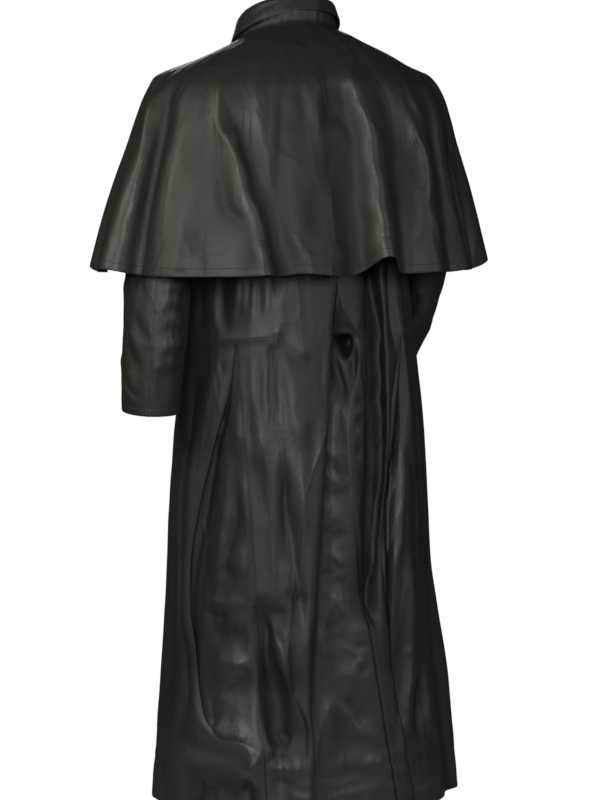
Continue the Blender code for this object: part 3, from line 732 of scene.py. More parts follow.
BODY_CRUMPLES = (
    Crumple(8, 1268, 34, 50, 60, 34, 2.6, 6),
    Crumple(25, 760, 20, 260, 26, 340, 2.0, 0),
    Crumple(-30, 760, 24, 280, 26, 220, 1.8, 0),
    Crumple(72, 760, 16, 280, 28, 220, 1.6, 0),
    Crumple(48, 455, 26, 60, 20, 90, 1.6, 0),
    Crumple(-48, 455, 26, 60, 20, 90, 1.6, 0),
    Crumple(22, 1110, 17, 170, 34, 330, 3.4, 0),
    Crumple(125, 800, 30, 320, 34, 240, 2.0, 0),
    Crumple(-125, 800, 30, 320, 34, 240, 2.0, 0),
    Crumple(-14, 700, 8, 160, 18, 20, 1.0, 10),
    Crumple(-36, 1215, 26, 90, 46, 34, 3.0, 10),
    Crumple(70, 1240, 20, 60, 60, 26, 1.0, 0),
    Crumple(130, 1220, 40, 70, 60, 22, 1.8, 0),
    Crumple(-130, 1220, 40, 70, 60, 22, 1.8, 0),
)

# Folds of the underlay of the left pleat, which sags and turns up in a belly at its foot
PLEAT_CREASES = (
    Crease(((61, 600), (62.5, 700)), 9, -4.0),
    Crease(((52, 620), (51, 730)), 7, 3.6),
    Crease(((56, 700), (59, 820), (63, 895), (65, 952)), 13, 9.0),
    Crease(((50.5, 762), (51.5, 810), (54, 840), (57.5, 890), (58, 922)), 9, -9.0),
    Crease(((47, 745), (47.5, 840)), 6, 4.0),
    Crease(((48, 858), (49, 922)), 8, 5.0),
    Crease(((62, 900), (57, 912), (51.5, 905)), 11, -5.0),
    Crease(((73, 971), (63.5, 965), (56, 967), (45, 957)), 8, 5.0, start=0.2, end=0.3),
    Crease(((71, 977), (64, 986), (54, 981)), 8, -6.0),
    Crease(((68, 1010), (54.5, 1018), (43, 1004)), 18, -7.0),
    Crease(((66, 1060), (53, 1062), (42, 1048)), 17, 7.0),
    Crease(((45.5, 1044), (50, 1075), (56, 1110)), 9, 4.6),
    Crease(((41, 1064), (47.5, 1096), (56, 1124)), 11, -8.0),
    Crease(((62, 1160), (51.5, 1182), (42, 1178)), 18, 8.0, start=0.25, end=0.25),
    Crease(((62, 1116), (59.5, 1160), (57, 1184)), 5, -4.4),
    Crease(((65, 1116), (62.5, 1154)), 5, 3.4),
)
PLEAT_CRUMPLES = (
    Crumple(55, 1080, 12, 100, 40, 40, 1.4, 15),
    Crumple(52, 800, 8, 120, 14, 60, 1.0, 0),
)

# Folds of the underlay in the back vent, with the dark hollow under the gaping edge
VENT_CREASES = (
    Crease(((-4.4, 520), (-4.6, 536), (-4.8, 566)), 3.0, -120.0, widen=0.5, start=0.2, end=0.7),
    Crease(((-2.4, 516), (-2.6, 545), (-3.2, 590)), 3, 3.4),
    Crease(((-7.6, 528), (-7.6, 560), (-6.6, 620)), 4, -14.0),
    Crease(((-0.4, 465), (-0.8, 540), (-1.2, 650)), 4, -18.0),
    Crease(((-4.8, 575), (-4.6, 640), (-3.0, 720)), 4, -5.0),
    Crease(((6, 698), (3.5, 720), (1.5, 736)), 6, 2.6),
    Crease(((7.5, 716), (4, 745), (1, 752)), 5, -2.6),
    Crease(((8, 742), (4, 757), (0.5, 782)), 6, 2.9),
    Crease(((8.6, 765), (5, 792), (1.5, 798)), 6, -2.9),
    Crease(((9.5, 800), (5, 812), (1, 840)), 6, 2.6),
    Crease(((9.8, 842), (4, 850), (-1, 862)), 6, -2.9),
    Crease(((10.5, 872), (6, 880), (-1, 908)), 7, 3.2),
    Crease(((10.5, 908), (6, 918), (3, 915)), 6, -2.9),
    Crease(((7, 930), (2, 970), (-3, 1006)), 8, 4.2),
    Crease(((3, 915), (-1.8, 964)), 7, -3.2),
    Crease(((8.5, 985), (5, 1015), (3, 1050)), 8, -3.0),
    Crease(((11.5, 1000), (8.5, 1068)), 8, 3.2),
    Crease(((-2, 1041), (-8, 1035)), 5, -2.6),
    Crease(((-2, 1051), (-8, 1049)), 4, 2.2),
    Crease(((-2.5, 1060), (-7.8, 1071)), 6, 3.5),
    Crease(((-4, 1084), (-8.5, 1079)), 5, -2.3),
    Crease(((5, 1070), (0, 1085), (-3, 1110)), 8, 2.6),
    Crease(((9, 1122), (0.5, 1150), (-6, 1185), (-10.5, 1200), (-15, 1200)), 7, 6.6),
    Crease(((4.5, 1116), (-2.5, 1150), (-7.5, 1180)), 10, -7.0),
    Crease(((9.2, 1136), (3, 1182), (-1, 1234)), 12, -7.0),
    Crease(((10.8, 1110), (9.5, 1155), (7.3, 1204)), 8, 5.4),
    Crease(((-4, 1225), (-12, 1242)), 8, 4.0),
)
VENT_CRUMPLES = (
    Crumple(4, 800, 7, 150, 22, 34, 1.5, 30),
    Crumple(2, 1040, 12, 120, 30, 44, 1.5, -25),
    Crumple(0, 1260, 16, 40, 44, 26, 1.6, 0),
)

# Folds of the cape
CAPE_CREASES = (
    # the flute under the left shoulder
    Crease(((85, 112), (81.5, 160), (79, 210), (77, 260), (76, 305), (75.5, 350), (75, 425)),
           11, 12.0, start=0.15, end=0.0),
    Crease(((77, 98), (73.5, 170), (73, 210), (71.5, 255), (70.5, 305), (69.5, 345), (67.5, 425)),
           12, -8.0, start=0.15, end=0.45),
    # the long diagonal ridge, with a hollow on each side
    Crease(((48, 90), (43.5, 125), (41, 175), (37, 205), (33, 235), (29.5, 275), (27, 305), (24, 345),
            (22, 425)), 9, 9.0, start=0.1, end=0.0),
    Crease(((43.5, 108), (37.5, 155), (32.5, 185), (30, 210), (27.5, 240), (25.5, 280), (23.5, 325)),
           9, -7.0),
    Crease(((43, 185), (40, 245), (37, 280), (34, 315), (29.5, 340), (28, 370), (28, 420)),
           10, -7.0, end=0.1),
    # shoulder blade
    Crease(((18, 72), (17, 120), (17.5, 200), (18.5, 255), (20, 305), (23, 335)), 9, -6.6),
    Crease(((18, 240), (17.5, 335), (17, 425)), 22, -7.0, end=0.0),
    Crease(((11, 82), (10.5, 120), (9.5, 160), (9.5, 204)), 6, -4.6),
    Crease(((14, 66), (13.5, 120), (13, 180)), 6, 3.2),
    Crease(((4.5, 68), (5, 135), (5.5, 212)), 12, 4.4),
    Crease(((30, 85), (27, 150), (25, 215)), 13, 3.4),
    Crease(((22.5, 90), (22, 170), (22.5, 250)), 6, -2.4),
    # the trough and the ridge at the centre
    Crease(((2, 55), (1.5, 105), (1.5, 125), (0.5, 150), (0, 198)), 6, -5.0),
    Crease(((0, 100), (-1.5, 130), (-2, 160), (-3, 200), (-3.5, 240), (-4, 295), (-4.5, 350), (-4.5, 425)),
           10, -11.0, start=0.1, end=0.0),
    Crease(((-6, 80), (-5, 120), (-6, 150), (-7.5, 200), (-8.5, 260), (-9, 315), (-9.5, 365), (-9.5, 425)),
           9, 11.0, start=0.1, end=0.0),
    Crease(((0.5, 120), (-0.8, 160)), 4, 3.0),
    Crease(((1, 128), (-1.2, 184)), 4, -3.6),
    Crease(((1.8, 154), (-1, 205)), 4, 3.0),
    Crease(((3, 148), (0.5, 198)), 4, -2.6),
    Crease(((7, 250), (7.5, 290), (9, 370)), 8, -4.6),
    Crease(((1.5, 200), (2.5, 295)), 7, -3.6),
    Crease(((15.5, 342), (11, 394)), 6, 4.0),
    Crease(((12.5, 348), (8.5, 398)), 5, -3.6),
    # right shoulder, and the fan below it
    Crease(((-23.5, 106), (-24.5, 150), (-27, 185), (-29.5, 215), (-30, 240), (-29, 280), (-26.5, 330)),
           9, 9.0),
    Crease(((-19, 140), (-22, 200), (-24, 250), (-23.5, 310), (-21.5, 375)), 12, -5.4),
    Crease(((-27, 302), (-23.5, 374)), 5, 3.2),
    Crease(((-27.4, 306), (-25, 390)), 5, -3.2),
    Crease(((-27.6, 306), (-27.5, 392)), 5, 3.6),
    Crease(((-28, 310), (-29.8, 390)), 4, -2.8),
    Crease(((-28, 304), (-32, 376)), 5, 3.2),
    Crease(((-29.5, 116), (-31.5, 150), (-34, 182)), 6, 3.8),
    Crease(((-60, 135), (-50.5, 220), (-48, 280), (-47.5, 350), (-48, 425)), 10, -9.0, end=0.0),
    # square shoulders
    Crease(((120, 102), (102, 97), (84, 100)), 24, 11.0),
    Crease(((-60, 100), (-78, 97), (-96, 102)), 24, 11.0),
    # left of the diagonal
    Crease(((49.5, 285), (48, 345), (49, 370), (49.5, 416)), 6, -3.6, end=0.1),
    Crease(((47.5, 340), (44.5, 388)), 5, -3.4),
    Crease(((47.8, 350), (47.2, 410)), 5, 3.0),
    Crease(((60, 150), (58, 280), (57, 400)), 18, 4.0),
    # fronts
    Crease(((122, 150), (120, 280), (118, 420)), 12, 4.0),
    Crease(((146, 140), (143, 280), (140, 420)), 10, -4.0),
    Crease(((-124, 150), (-125, 280), (-126, 420)), 12, -4.0),
    Crease(((-152, 140), (-151, 280), (-150, 420)), 10, 4.0),
)
CAPE_CRUMPLES = (
    Crumple(14, 390, 50, 32, 34, 16, 0.9, 0),
    Crumple(20, 180, 26, 110, 20, 100, 0.8, 0),
    Crumple(40, 260, 14, 110, 30, 60, 0.9, 0),
)

# Folds of a sleeve, in degrees round the arm and millimetres down it
SLEEVE_CREASES = (
    Crease(((72, 386), (100, 380), (132, 384)), 6, 5.0),
    Crease(((68, 392), (100, 389), (140, 394)), 5, -4.6),
    Crease(((66, 402), (95, 396), (122, 400)), 6, 5.0),
    Crease(((70, 412), (110, 408), (160, 414)), 7, -5.4),
    Crease(((74, 424), (100, 419), (130, 424)), 7, 4.6),
    Crease(((66, 442), (110, 431), (165, 436)), 8, -5.6),
    Crease(((66, 460), (100, 448), (140, 442)), 8, 5.6),
    Crease(((70, 474), (110, 461), (165, 462)), 7, -5.6),
    Crease(((62, 482), (95, 471), (130, 465)), 7, 5.0),
    Crease(((70, 502), (120, 486), (160, 488)), 9, -4.0),
    Crease(((10, 420), (30, 445), (52, 466)), 7, 5.4),
    Crease(((22, 412), (42, 436), (60, 452)), 7, -5.0),
    Crease(((4, 440), (24, 466), (50, 490)), 8, -4.6),
    Crease(((6, 482), (22, 502), (40, 516)), 6, 5.0),
    Crease(((0, 498), (18, 522), (50, 540)), 6, 5.4),
    Crease(((2, 490), (22, 514), (52, 530)), 5, -4.6),
    Crease(((24, 330), (50, 372), (62, 410)), 10, 4.0),
    Crease(((5, 300), (30, 360), (45, 410)), 10, -4.0),
    Crease(((-70, 400), (-35, 386), (0, 380)), 8, 4.0),
    Crease(((-80, 440), (-45, 430), (-10, 430)), 8, -4.0),
    Crease(((-75, 480), (-40, 476), (-5, 484)), 8, 3.4),
    Crease(((190, 410), (212, 412), (235, 420)), 7, -4.4),
    Crease(((190, 450), (212, 450), (235, 456)), 7, 4.0),
)
SLEEVE_CRUMPLES = (
    Crumple(110, 440, 60, 70, 30, 14, 1.0, 8),
    Crumple(20, 470, 60, 70, 26, 16, 1.0, -25),
)

# Soft creases of the turned-down collar
COLLAR_CREASES = (
    Crease(((70, -22), (48, -30), (22, -36)), 4, -2.0),
    Crease(((60, -14), (36, -22)), 5, 1.6),
    Crease(((-8, -14), (-30, -24)), 5, -1.6),
    Crease(((-20, -34), (-60, -30)), 5, 1.6),
)

BODY_RELIEF = Relief(BODY_CREASES, BODY_CRUMPLES, mm_per_degree=3.5, seed=11)
PLEAT_RELIEF = Relief(PLEAT_CREASES, PLEAT_CRUMPLES, mm_per_degree=3.5, seed=91, slack_mm=0.0)
VENT_RELIEF = Relief(VENT_CREASES, VENT_CRUMPLES, mm_per_degree=3.5, seed=111, slack_mm=0.0)
CAPE_RELIEF = Relief(CAPE_CREASES, CAPE_CRUMPLES, mm_per_degree=4.2, seed=31)
SLEEVE_RELIEF = Relief(SLEEVE_CREASES, SLEEVE_CRUMPLES, mm_per_degree=1.0, seed=51)
COLLAR_RELIEF = Relief(COLLAR_CREASES, (), mm_per_degree=1.5, seed=71, slack_mm=0.4)


@dataclass(frozen=True)
class BodyForm:
    """The coat's body from neck to hem, with its large folds and a waist that dips to the sides."""

    waist_dip: float = 0.02
    dip_reach: float = 0.07
    dip_angle: float = 80.0
    dip_spread: float = 35.0
    fold_fade: float = 0.3

    def point(self, angle: Array, level: Array, out: Array) -> Array:
        """Place of a spot on the body.

        Args:
            angle: Angles round the body.
            level: Heights.
            out: Distance out from the body.

        Returns:
            Points.
        """
        for fold in BODY_FOLDS:
            share = np.clip((fold.top_z - level) / (fold.top_z - fold.low_z), 0.0, 1.0)
            line = mix(fold.top_angle, fold.low_angle, share)
            strength = rise(0.0, self.fold_fade, share) * rise(0.0, self.fold_fade, 1 - share)
            out = out + fold.out_mm * MM * strength * hump(turn_between(angle, line), fold.width)
        dip = hump(np.abs(angle) - self.dip_angle, self.dip_spread) * hump(level - WAIST, self.dip_reach)
        return BODY_STACK.spot(angle, level - self.waist_dip * dip, out)


@dataclass(frozen=True)
class CapeForm:
    """The cape from its neck edge to its hem, with its flutes."""

    hem: float = -0.42
    neck: float = 0.001
    top: float = 0.024
    flutes_from: float = -0.05
    growth: float = 1.15

    def point(self, angle: Array, level: Array, out: Array) -> Array:
        """Place of a spot on the cape.

        Args:
            angle: Angles round the body.
            level: Heights before the hem's lift.
            out: Distance out from the cape.

        Returns:
            Points.
        """
        share = (self.neck - level) / (self.neck - self.hem)
        grown = np.clip((self.flutes_from - level) / (self.flutes_from - self.hem), 0.0, 1.0) ** self.growth
        lift = np.zeros_like(angle)
        for flute in CAPE_FLUTES:
            line = mix(flute.top_angle, flute.hem_angle, share)
            wave = grown * hump(turn_between(angle, line), flute.width)
            out = out + flute.out_mm * MM * wave
            lift = lift + flute.lift_mm * MM * wave * share
        return CAPE_STACK.spot(angle, level + lift, out)


def skirt_angle(line: SkirtLine, z: Array) -> Array:
    """Angles of a skirt line at some heights."""
    return monotone(z, SKIRT_LEVELS, line)


def bodice_angle(line: BodiceLine, z: Array) -> Array:
    """Angles of a bodice line at some heights."""
    return monotone(z, BODICE_LEVELS, line)


def vent_angle(side: Side, z: Array) -> Array:
    """Angle of the centre edge of a back, closed above the ribs and opening into the vent.

    Args:
        side: Which back.
        z: Heights.

    Returns:
        Angles at the heights.
    """
    line = VENT_LEFT if side is Side.LEFT else VENT_RIGHT
    above = line.waist * rise(RIB, WAIST, z)
    gape = np.zeros_like(z) if side is Side.LEFT else monotone(z, *np.array(VENT_GAPE).T)
    return np.where(z < WAIST, skirt_angle(line, z), above) + gape


def pleat_angle(side: Side, z: Array) -> Array:
    """Angle of the folded edge of a side pleat.

    Args:
        side: Which pleat.
        z: Heights.

    Returns:
        Angles at the heights.
    """
    left = side is Side.LEFT
    opening = PLEAT_LEFT if left else PLEAT_RIGHT
    return skirt_angle(PLEAT_SEAM_LEFT if left else PLEAT_SEAM_RIGHT, z) + monotone(z, *np.array(opening).T)


@dataclass(frozen=True)
class SleeveForm:
    """A sleeve on its arm. An angle goes round the arm, from its outer side to the back."""

    side: Side
    head: float = 1 / 14
    armhole_inset: float = 0.004
    armhole_turn: float = 2.4
    arm_step: float = 0.02
    length: float = 0.56

    def armhole(self, turn: Array) -> Array:
        """Point of the sleeve's head at the armhole.

        Args:
            turn: Angles round the arm.

        Returns:
            Points.
        """
        half = (TIP - UNDERARM) / 2 - self.armhole_inset
        z = (TIP + UNDERARM) / 2 + half * np.cos(np.radians(turn))
        sine = np.sin(np.radians(turn))
        low_share = np.clip((BLADE - z) / (BLADE - UNDERARM), 0.0, 1.0) ** (1 / ARMHOLE_CURVE)
        low = mix(bodice_angle(BACK_EDGE, z), SIDE_LEFT.waist, low_share)
        back = np.where(z < BLADE, low, bodice_angle(BACK_EDGE, z))
        angle = np.where(sine > 0, back, bodice_angle(FRONT_EDGE, z)) + self.armhole_turn * sine
        return BodyForm().point(self.side.value * angle, z, np.zeros_like(z))

    def arm(self, share: Array, turn: Array) -> Array:
        """Point of the sleeve below its head.

        Args:
            share: Share of the arm's length.
            turn: Angles round the arm.

        Returns:
            Points.
        """
        rings = np.array(LEFT_ARM if self.side is Side.LEFT else RIGHT_ARM).T
        stations = np.linspace(0.0, 1.0, rings.shape[1])
        here = [monotone(share, stations, column) for column in rings]
        later = [monotone(share + self.arm_step, stations, column) for column in rings]
        sooner = [monotone(share - self.arm_step, stations, column) for column in rings]
        outer = np.stack(here[0:3], axis=-1)
        inner = np.stack(here[3:6], axis=-1)
        ahead = np.stack(later[0:3], axis=-1) + np.stack(later[3:6], axis=-1)
        behind = np.stack(sooner[0:3], axis=-1) + np.stack(sooner[3:6], axis=-1)
        across = (outer - inner) / 2
        back = np.cross(across, ahead - behind) * self.side.value
        back *= (here[6] / np.linalg.norm(back, axis=-1))[..., None]
        cosine = np.cos(np.radians(turn))[..., None]
        sine = np.sin(np.radians(turn))[..., None]
        return (outer + inner) / 2 + across * cosine + back * sine

    def point(self, angle: Array, level: Array, out: Array) -> Array:
        """Place of a spot on the sleeve.

        Args:
            angle: Angles round the arm.
            level: Metres down the sleeve, as a negative height.
            out: Not used by a sleeve, whose relief moves it.

        Returns:
            Points.
        """
        share = -level / self.length
        below = self.arm(np.clip((share - self.head) / (1 - self.head), 0.0, 1.0), angle)
        joined = np.clip(share / self.head, 0.0, 1.0)[..., None]
        return mix(self.armhole(angle), below, joined)


@dataclass(frozen=True)
class CollarForm:
    """The collar's leaning ring. A level is a height above the neck seam."""

    neck_radius: float = 0.084
    top_radius: float = 0.076
    stand: float = 0.044
    centre: float = -0.035
    sway: float = 0.010

    def point(self, angle: Array, level: Array, out: Array) -> Array:
        """Place of a spot on the collar.

        Args:
            angle: Angles round the neck.
            level: Heights above the neck seam.
            out: Distance out from the ring.

        Returns:
            Points.
        """
        radius = mix(self.neck_radius, self.top_radius, np.clip(level / self.stand, 0.0, 1.0)) + out
        x = radius * np.sin(np.radians(angle)) + self.sway
        y = radius * np.cos(np.radians(angle)) + self.centre
        return np.stack([x, y, level + BODY_STACK.neck_tilt * (y - BODY_STACK.neck_back)], axis=-1)


# A chart takes the shares across and up a piece to the angle, the level and the distance out on its form
Chart = Callable[[Array, Array], tuple[Array, Array, Array]]


@dataclass
class Cut:
    """One cut piece of leather, laid on its form by a chart.

    Its own relief, where it has one, comes on top of the form's and fades at the sides. The wall is thicker
    than garment leather, which is about 1 mm, so that an edge shows.
    """

    name: str
    form: Form
    chart: Chart
    relief: Relief
    rolls: tuple[Roll, ...] = ()
    hemmed: tuple[Edge, ...] = ()
    sewn: tuple[Edge, ...] = ()
    keep: Callable[[Array, Array], Array] | None = None
    across_line: float | None = None
    up_line: float | None = None
    own: Relief | None = None
    own_fade: float = 0.02
    cell: float = 0.0042
    wall: float = 0.0018
    hem_roll_mm: float = 0.8
    hem_reach_mm: float = 4.0
    survey_lines: int = 25
    edge_lines: tuple[float, ...] = (0.25, 0.5, 0.75)
    rows: list[Array] = field(default_factory=list)

    def build(self, finish: bpy.types.Material) -> bpy.types.Object:
        """Make the piece, hide the part that it replaces and attach the piece to the root.

        Args:
            finish: The leather.

        Returns:
            The finished object.
        """
        width, length = self.extent()
        across = self.spread(width, self.across_line, Edge.START, Edge.END)
        up = self.spread(length, self.up_line, Edge.LOW, Edge.HIGH)
        u, v = np.meshgrid(across, up)
        angle, level, out = self.chart(u, v)
        points = self.form.point(angle, level, out + np.zeros_like(u))
        plain = self.away(points)
        normal = self.normals(points)
        depth = self.relief.depth(angle, level)
        if self.own is not None:
            inside = np.minimum(plain[Edge.START], plain[Edge.END])
            depth = depth + self.own.depth(angle, level) * rise(0.0, self.own_fade, inside)
        for roll in self.rolled():
            share = monotone(level, *zip(*roll.shares)) if roll.shares else 1.0
            turned = np.clip(1 - plain[roll.edge] / (roll.reach_mm * MM), 0.0, 1.0) ** 2
            depth = depth - roll.depth_mm * MM * share * turned
        points = points + normal * depth[..., None]
        kept = self.kept(across, up)
        for edges, inset in ((self.sewn, SEAM_INSET_MM), (self.hemmed, HEM_INSET_MM)):
            self.rows += [self.sewing_line(edge, inset * MM, points, plain[edge], kept) for edge in edges]
        piece = self.mesh_object(points, self.faces(kept), plain, depth / MM, finish)
        self.declare(piece)
        return piece

    def extent(self) -> tuple[float, float]:
        """Largest width and length of the piece.

        Returns:
            Metres across and up.
        """
        shares = np.linspace(0, 1, self.survey_lines)
        u, v = np.meshgrid(shares, shares)
        angle, level, out = self.chart(u, v)
        points = self.form.point(angle, level, out + np.zeros_like(u))
        away = self.away(points)
        return float(away[Edge.START][:, -1].max()), float(away[Edge.LOW][-1].max())

    def rolled(self) -> tuple[Roll, ...]:
        """Every edge that turns under, hems among them."""
        return self.rolls + tuple(Roll(edge, self.hem_roll_mm, self.hem_reach_mm) for edge in self.hemmed)

    def spread(self, size: float, exact: float | None, first: Edge, last: Edge) -> Array:
        """Places of the grid's lines, closer together at an edge that is rolled under.

        Args:
            size: Metres across the grid.
            exact: A share that one line must lie on.
            first: Edge at 0.
            last: Edge at 1.

        Returns:
            Rising shares from 0 to 1.
        """
        lines = np.linspace(0, 1, math.ceil(size / self.cell) + 1)
        if exact is not None:
            lines[np.abs(lines - exact).argmin()] = exact
        close = self.cell / size * np.array(self.edge_lines)
        edges = [roll.edge for roll in self.rolled()]
        extra = [close] if first in edges else []
        extra += [1 - close] if last in edges else []
        return np.unique(np.concatenate([lines, *extra]))

    def away(self, points: Array) -> dict[Edge, Array]:
        """Distance of every spot from each edge, along the leather.

        Args:
            points: The laid grid.

        Returns:
            Metres from each edge.
        """
        rows = np.linalg.norm(np.diff(points, axis=1), axis=-1)
        columns = np.linalg.norm(np.diff(points, axis=0), axis=-1)
        start = np.concatenate([np.zeros((len(points), 1)), np.cumsum(rows, axis=1)], axis=1)
        low = np.concatenate([np.zeros((1, points.shape[1])), np.cumsum(columns, axis=0)], axis=0)
        return {Edge.START: start, Edge.END: start[:, -1:] - start, Edge.LOW: low, Edge.HIGH: low[-1:] - low}

    def normals(self, points: Array) -> Array:
        """Outward direction at every spot of the laid grid."""
        normal = np.cross(np.gradient(points, axis=1), np.gradient(points, axis=0))
        return normal / np.maximum(np.linalg.norm(normal, axis=-1, keepdims=True), TINY)

    def sewing_line(self, edge: Edge, inset: float, points: Array, away: Array, kept: Array) -> Array:
        """Places of a row of stitches beside an edge.

        Args:
            edge: The edge.
            inset: Metres in from it.
            points: The laid grid.
            away: Distance from the edge.
            kept: True for each cell of the cut.

        Returns:
            Points along the row, on the leather.
        """
        if edge in (Edge.LOW, Edge.HIGH):
            points, away, kept = points.swapaxes(0, 1), away.T, kept.T
        if edge in (Edge.END, Edge.HIGH):
            points, away, kept = points[:, ::-1], away[:, ::-1], kept[:, ::-1]
        row = np.arange(len(points))
        after = np.clip((away < inset).sum(axis=1), 1, away.shape[1] - 1)
        near, far = away[row, after - 1], away[row, after]
        share = np.clip((inset - near) / (far - near), 0.0, 1.0)[:, None]
        line = mix(points[row, after - 1], points[row, after], share)
        return line[kept[np.minimum(row, len(kept) - 1), after - 1]]

    def kept(self, across: Array, up: Array) -> Array:
        """Which cells between the grid's lines belong to the cut."""
        u, v = np.meshgrid((across[1:] + across[:-1]) / 2, (up[1:] + up[:-1]) / 2)
        return np.ones(u.shape, bool) if self.keep is None else self.keep(u, v)

    def faces(self, kept: Array) -> Array:
        """Corners of the cells that are kept.

        Args:
            kept: True for each such cell.

        Returns:
            Four corner numbers to a face.
        """
        rows, columns = kept.shape
        corner = np.arange(rows * (columns + 1)).reshape(rows, columns + 1)[:, :-1]
        around_cell = [corner, corner + 1, corner + columns + 2, corner + columns + 1]
        return np.stack(around_cell, axis=-1)[kept]

    def mesh_object(
        self, points: Array, faces: Array, plain: dict[Edge, Array], raised: Array,
        finish: bpy.types.Material,
    ) -> bpy.types.Object:
        """Turn the grid into an object with its thickness and its sewing lines.

        Args:
            points: The laid grid.
            faces: Corners of each face.
            plain: Distance from each edge.
            raised: Millimetres out from the plain form.
            finish: The leather.

        Returns:
            The object.
        """
        used, renumbered = np.unique(faces, return_inverse=True)
        mesh = bpy.data.meshes.new(self.name)
        mesh.from_pydata(points.reshape(-1, 3)[used].tolist(), [], renumbered.reshape(-1, 4).tolist())
        layers = {"raised": raised}
        for label, edges in (("sewn", self.sewn), ("hemmed", self.hemmed)):
            layers[label] = np.minimum.reduce([np.ones_like(raised), *(plain[edge] for edge in edges)])
        for label, values in layers.items():
            layer = mesh.attributes.new(label, "FLOAT", "POINT")
            layer.data.foreach_set("value", values.reshape(-1)[used].astype(np.float32))
        mesh.shade_smooth()
        self.sharpen_rim(mesh)
        mesh.materials.append(finish)
        piece = bpy.data.objects.new("leather_" + self.name, mesh)
        bpy.context.scene.collection.objects.link(piece)
        thicken = piece.modifiers.new("Leather", "SOLIDIFY")
        thicken.thickness = self.wall
        thicken.offset = -1.0
        return piece

    def sharpen_rim(self, mesh: bpy.types.Mesh) -> None:
        """Keep the cut edge of the leather crisp, so that flush seams stay thin.

        Args:
            mesh: The grid, before it has a thickness.
        """
        corners = np.empty(len(mesh.loops), np.int32)
        mesh.loops.foreach_get("edge_index", corners)
        rim = np.bincount(corners, minlength=len(mesh.edges)) == 1
        mesh.attributes.new("sharp_edge", "BOOLEAN", "EDGE").data.foreach_set("value", rim)

    def declare(self, piece: bpy.types.Object) -> None:
        """Hide the part that the piece replaces and attach the piece to the root.

        Args:
            piece: The object.
        """
        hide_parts(self.name)
        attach(piece, "root")


def add_node(
    tree: bpy.types.NodeTree, kind: str, settings: dict[str | int, object],
    links: dict[str | int, bpy.types.NodeSocket],
) -> bpy.types.Node:
    """Add one shader node.

    Args:
        tree: The node tree.
        kind: The node's type.
        settings: Values for its properties, or for its inputs by name or number.
        links: Sockets to link into its inputs.

    Returns:
        The node.
    """
    node = tree.nodes.new(kind)
    for key, value in settings.items():
        if isinstance(key, str) and hasattr(node, key):
            setattr(node, key, value)
        else:
            node.inputs[key].default_value = value
    for key, socket in links.items():
        tree.links.new(socket, node.inputs[key])
    return node


def linear(colour: str) -> tuple[float, float, float, float]:
    """Turn an sRGB hex colour into linear light.

    Args:
        colour: Six hex digits after a #.

    Returns:
        Red, green, blue and alpha.
    """
    parts = [int(colour[i:i + 2], 16) / 255 for i in (1, 3, 5)]
    return (*[p / 12.92 if p <= 0.04045 else ((p + 0.055) / 1.055) ** 2.4 for p in parts], 1.0)
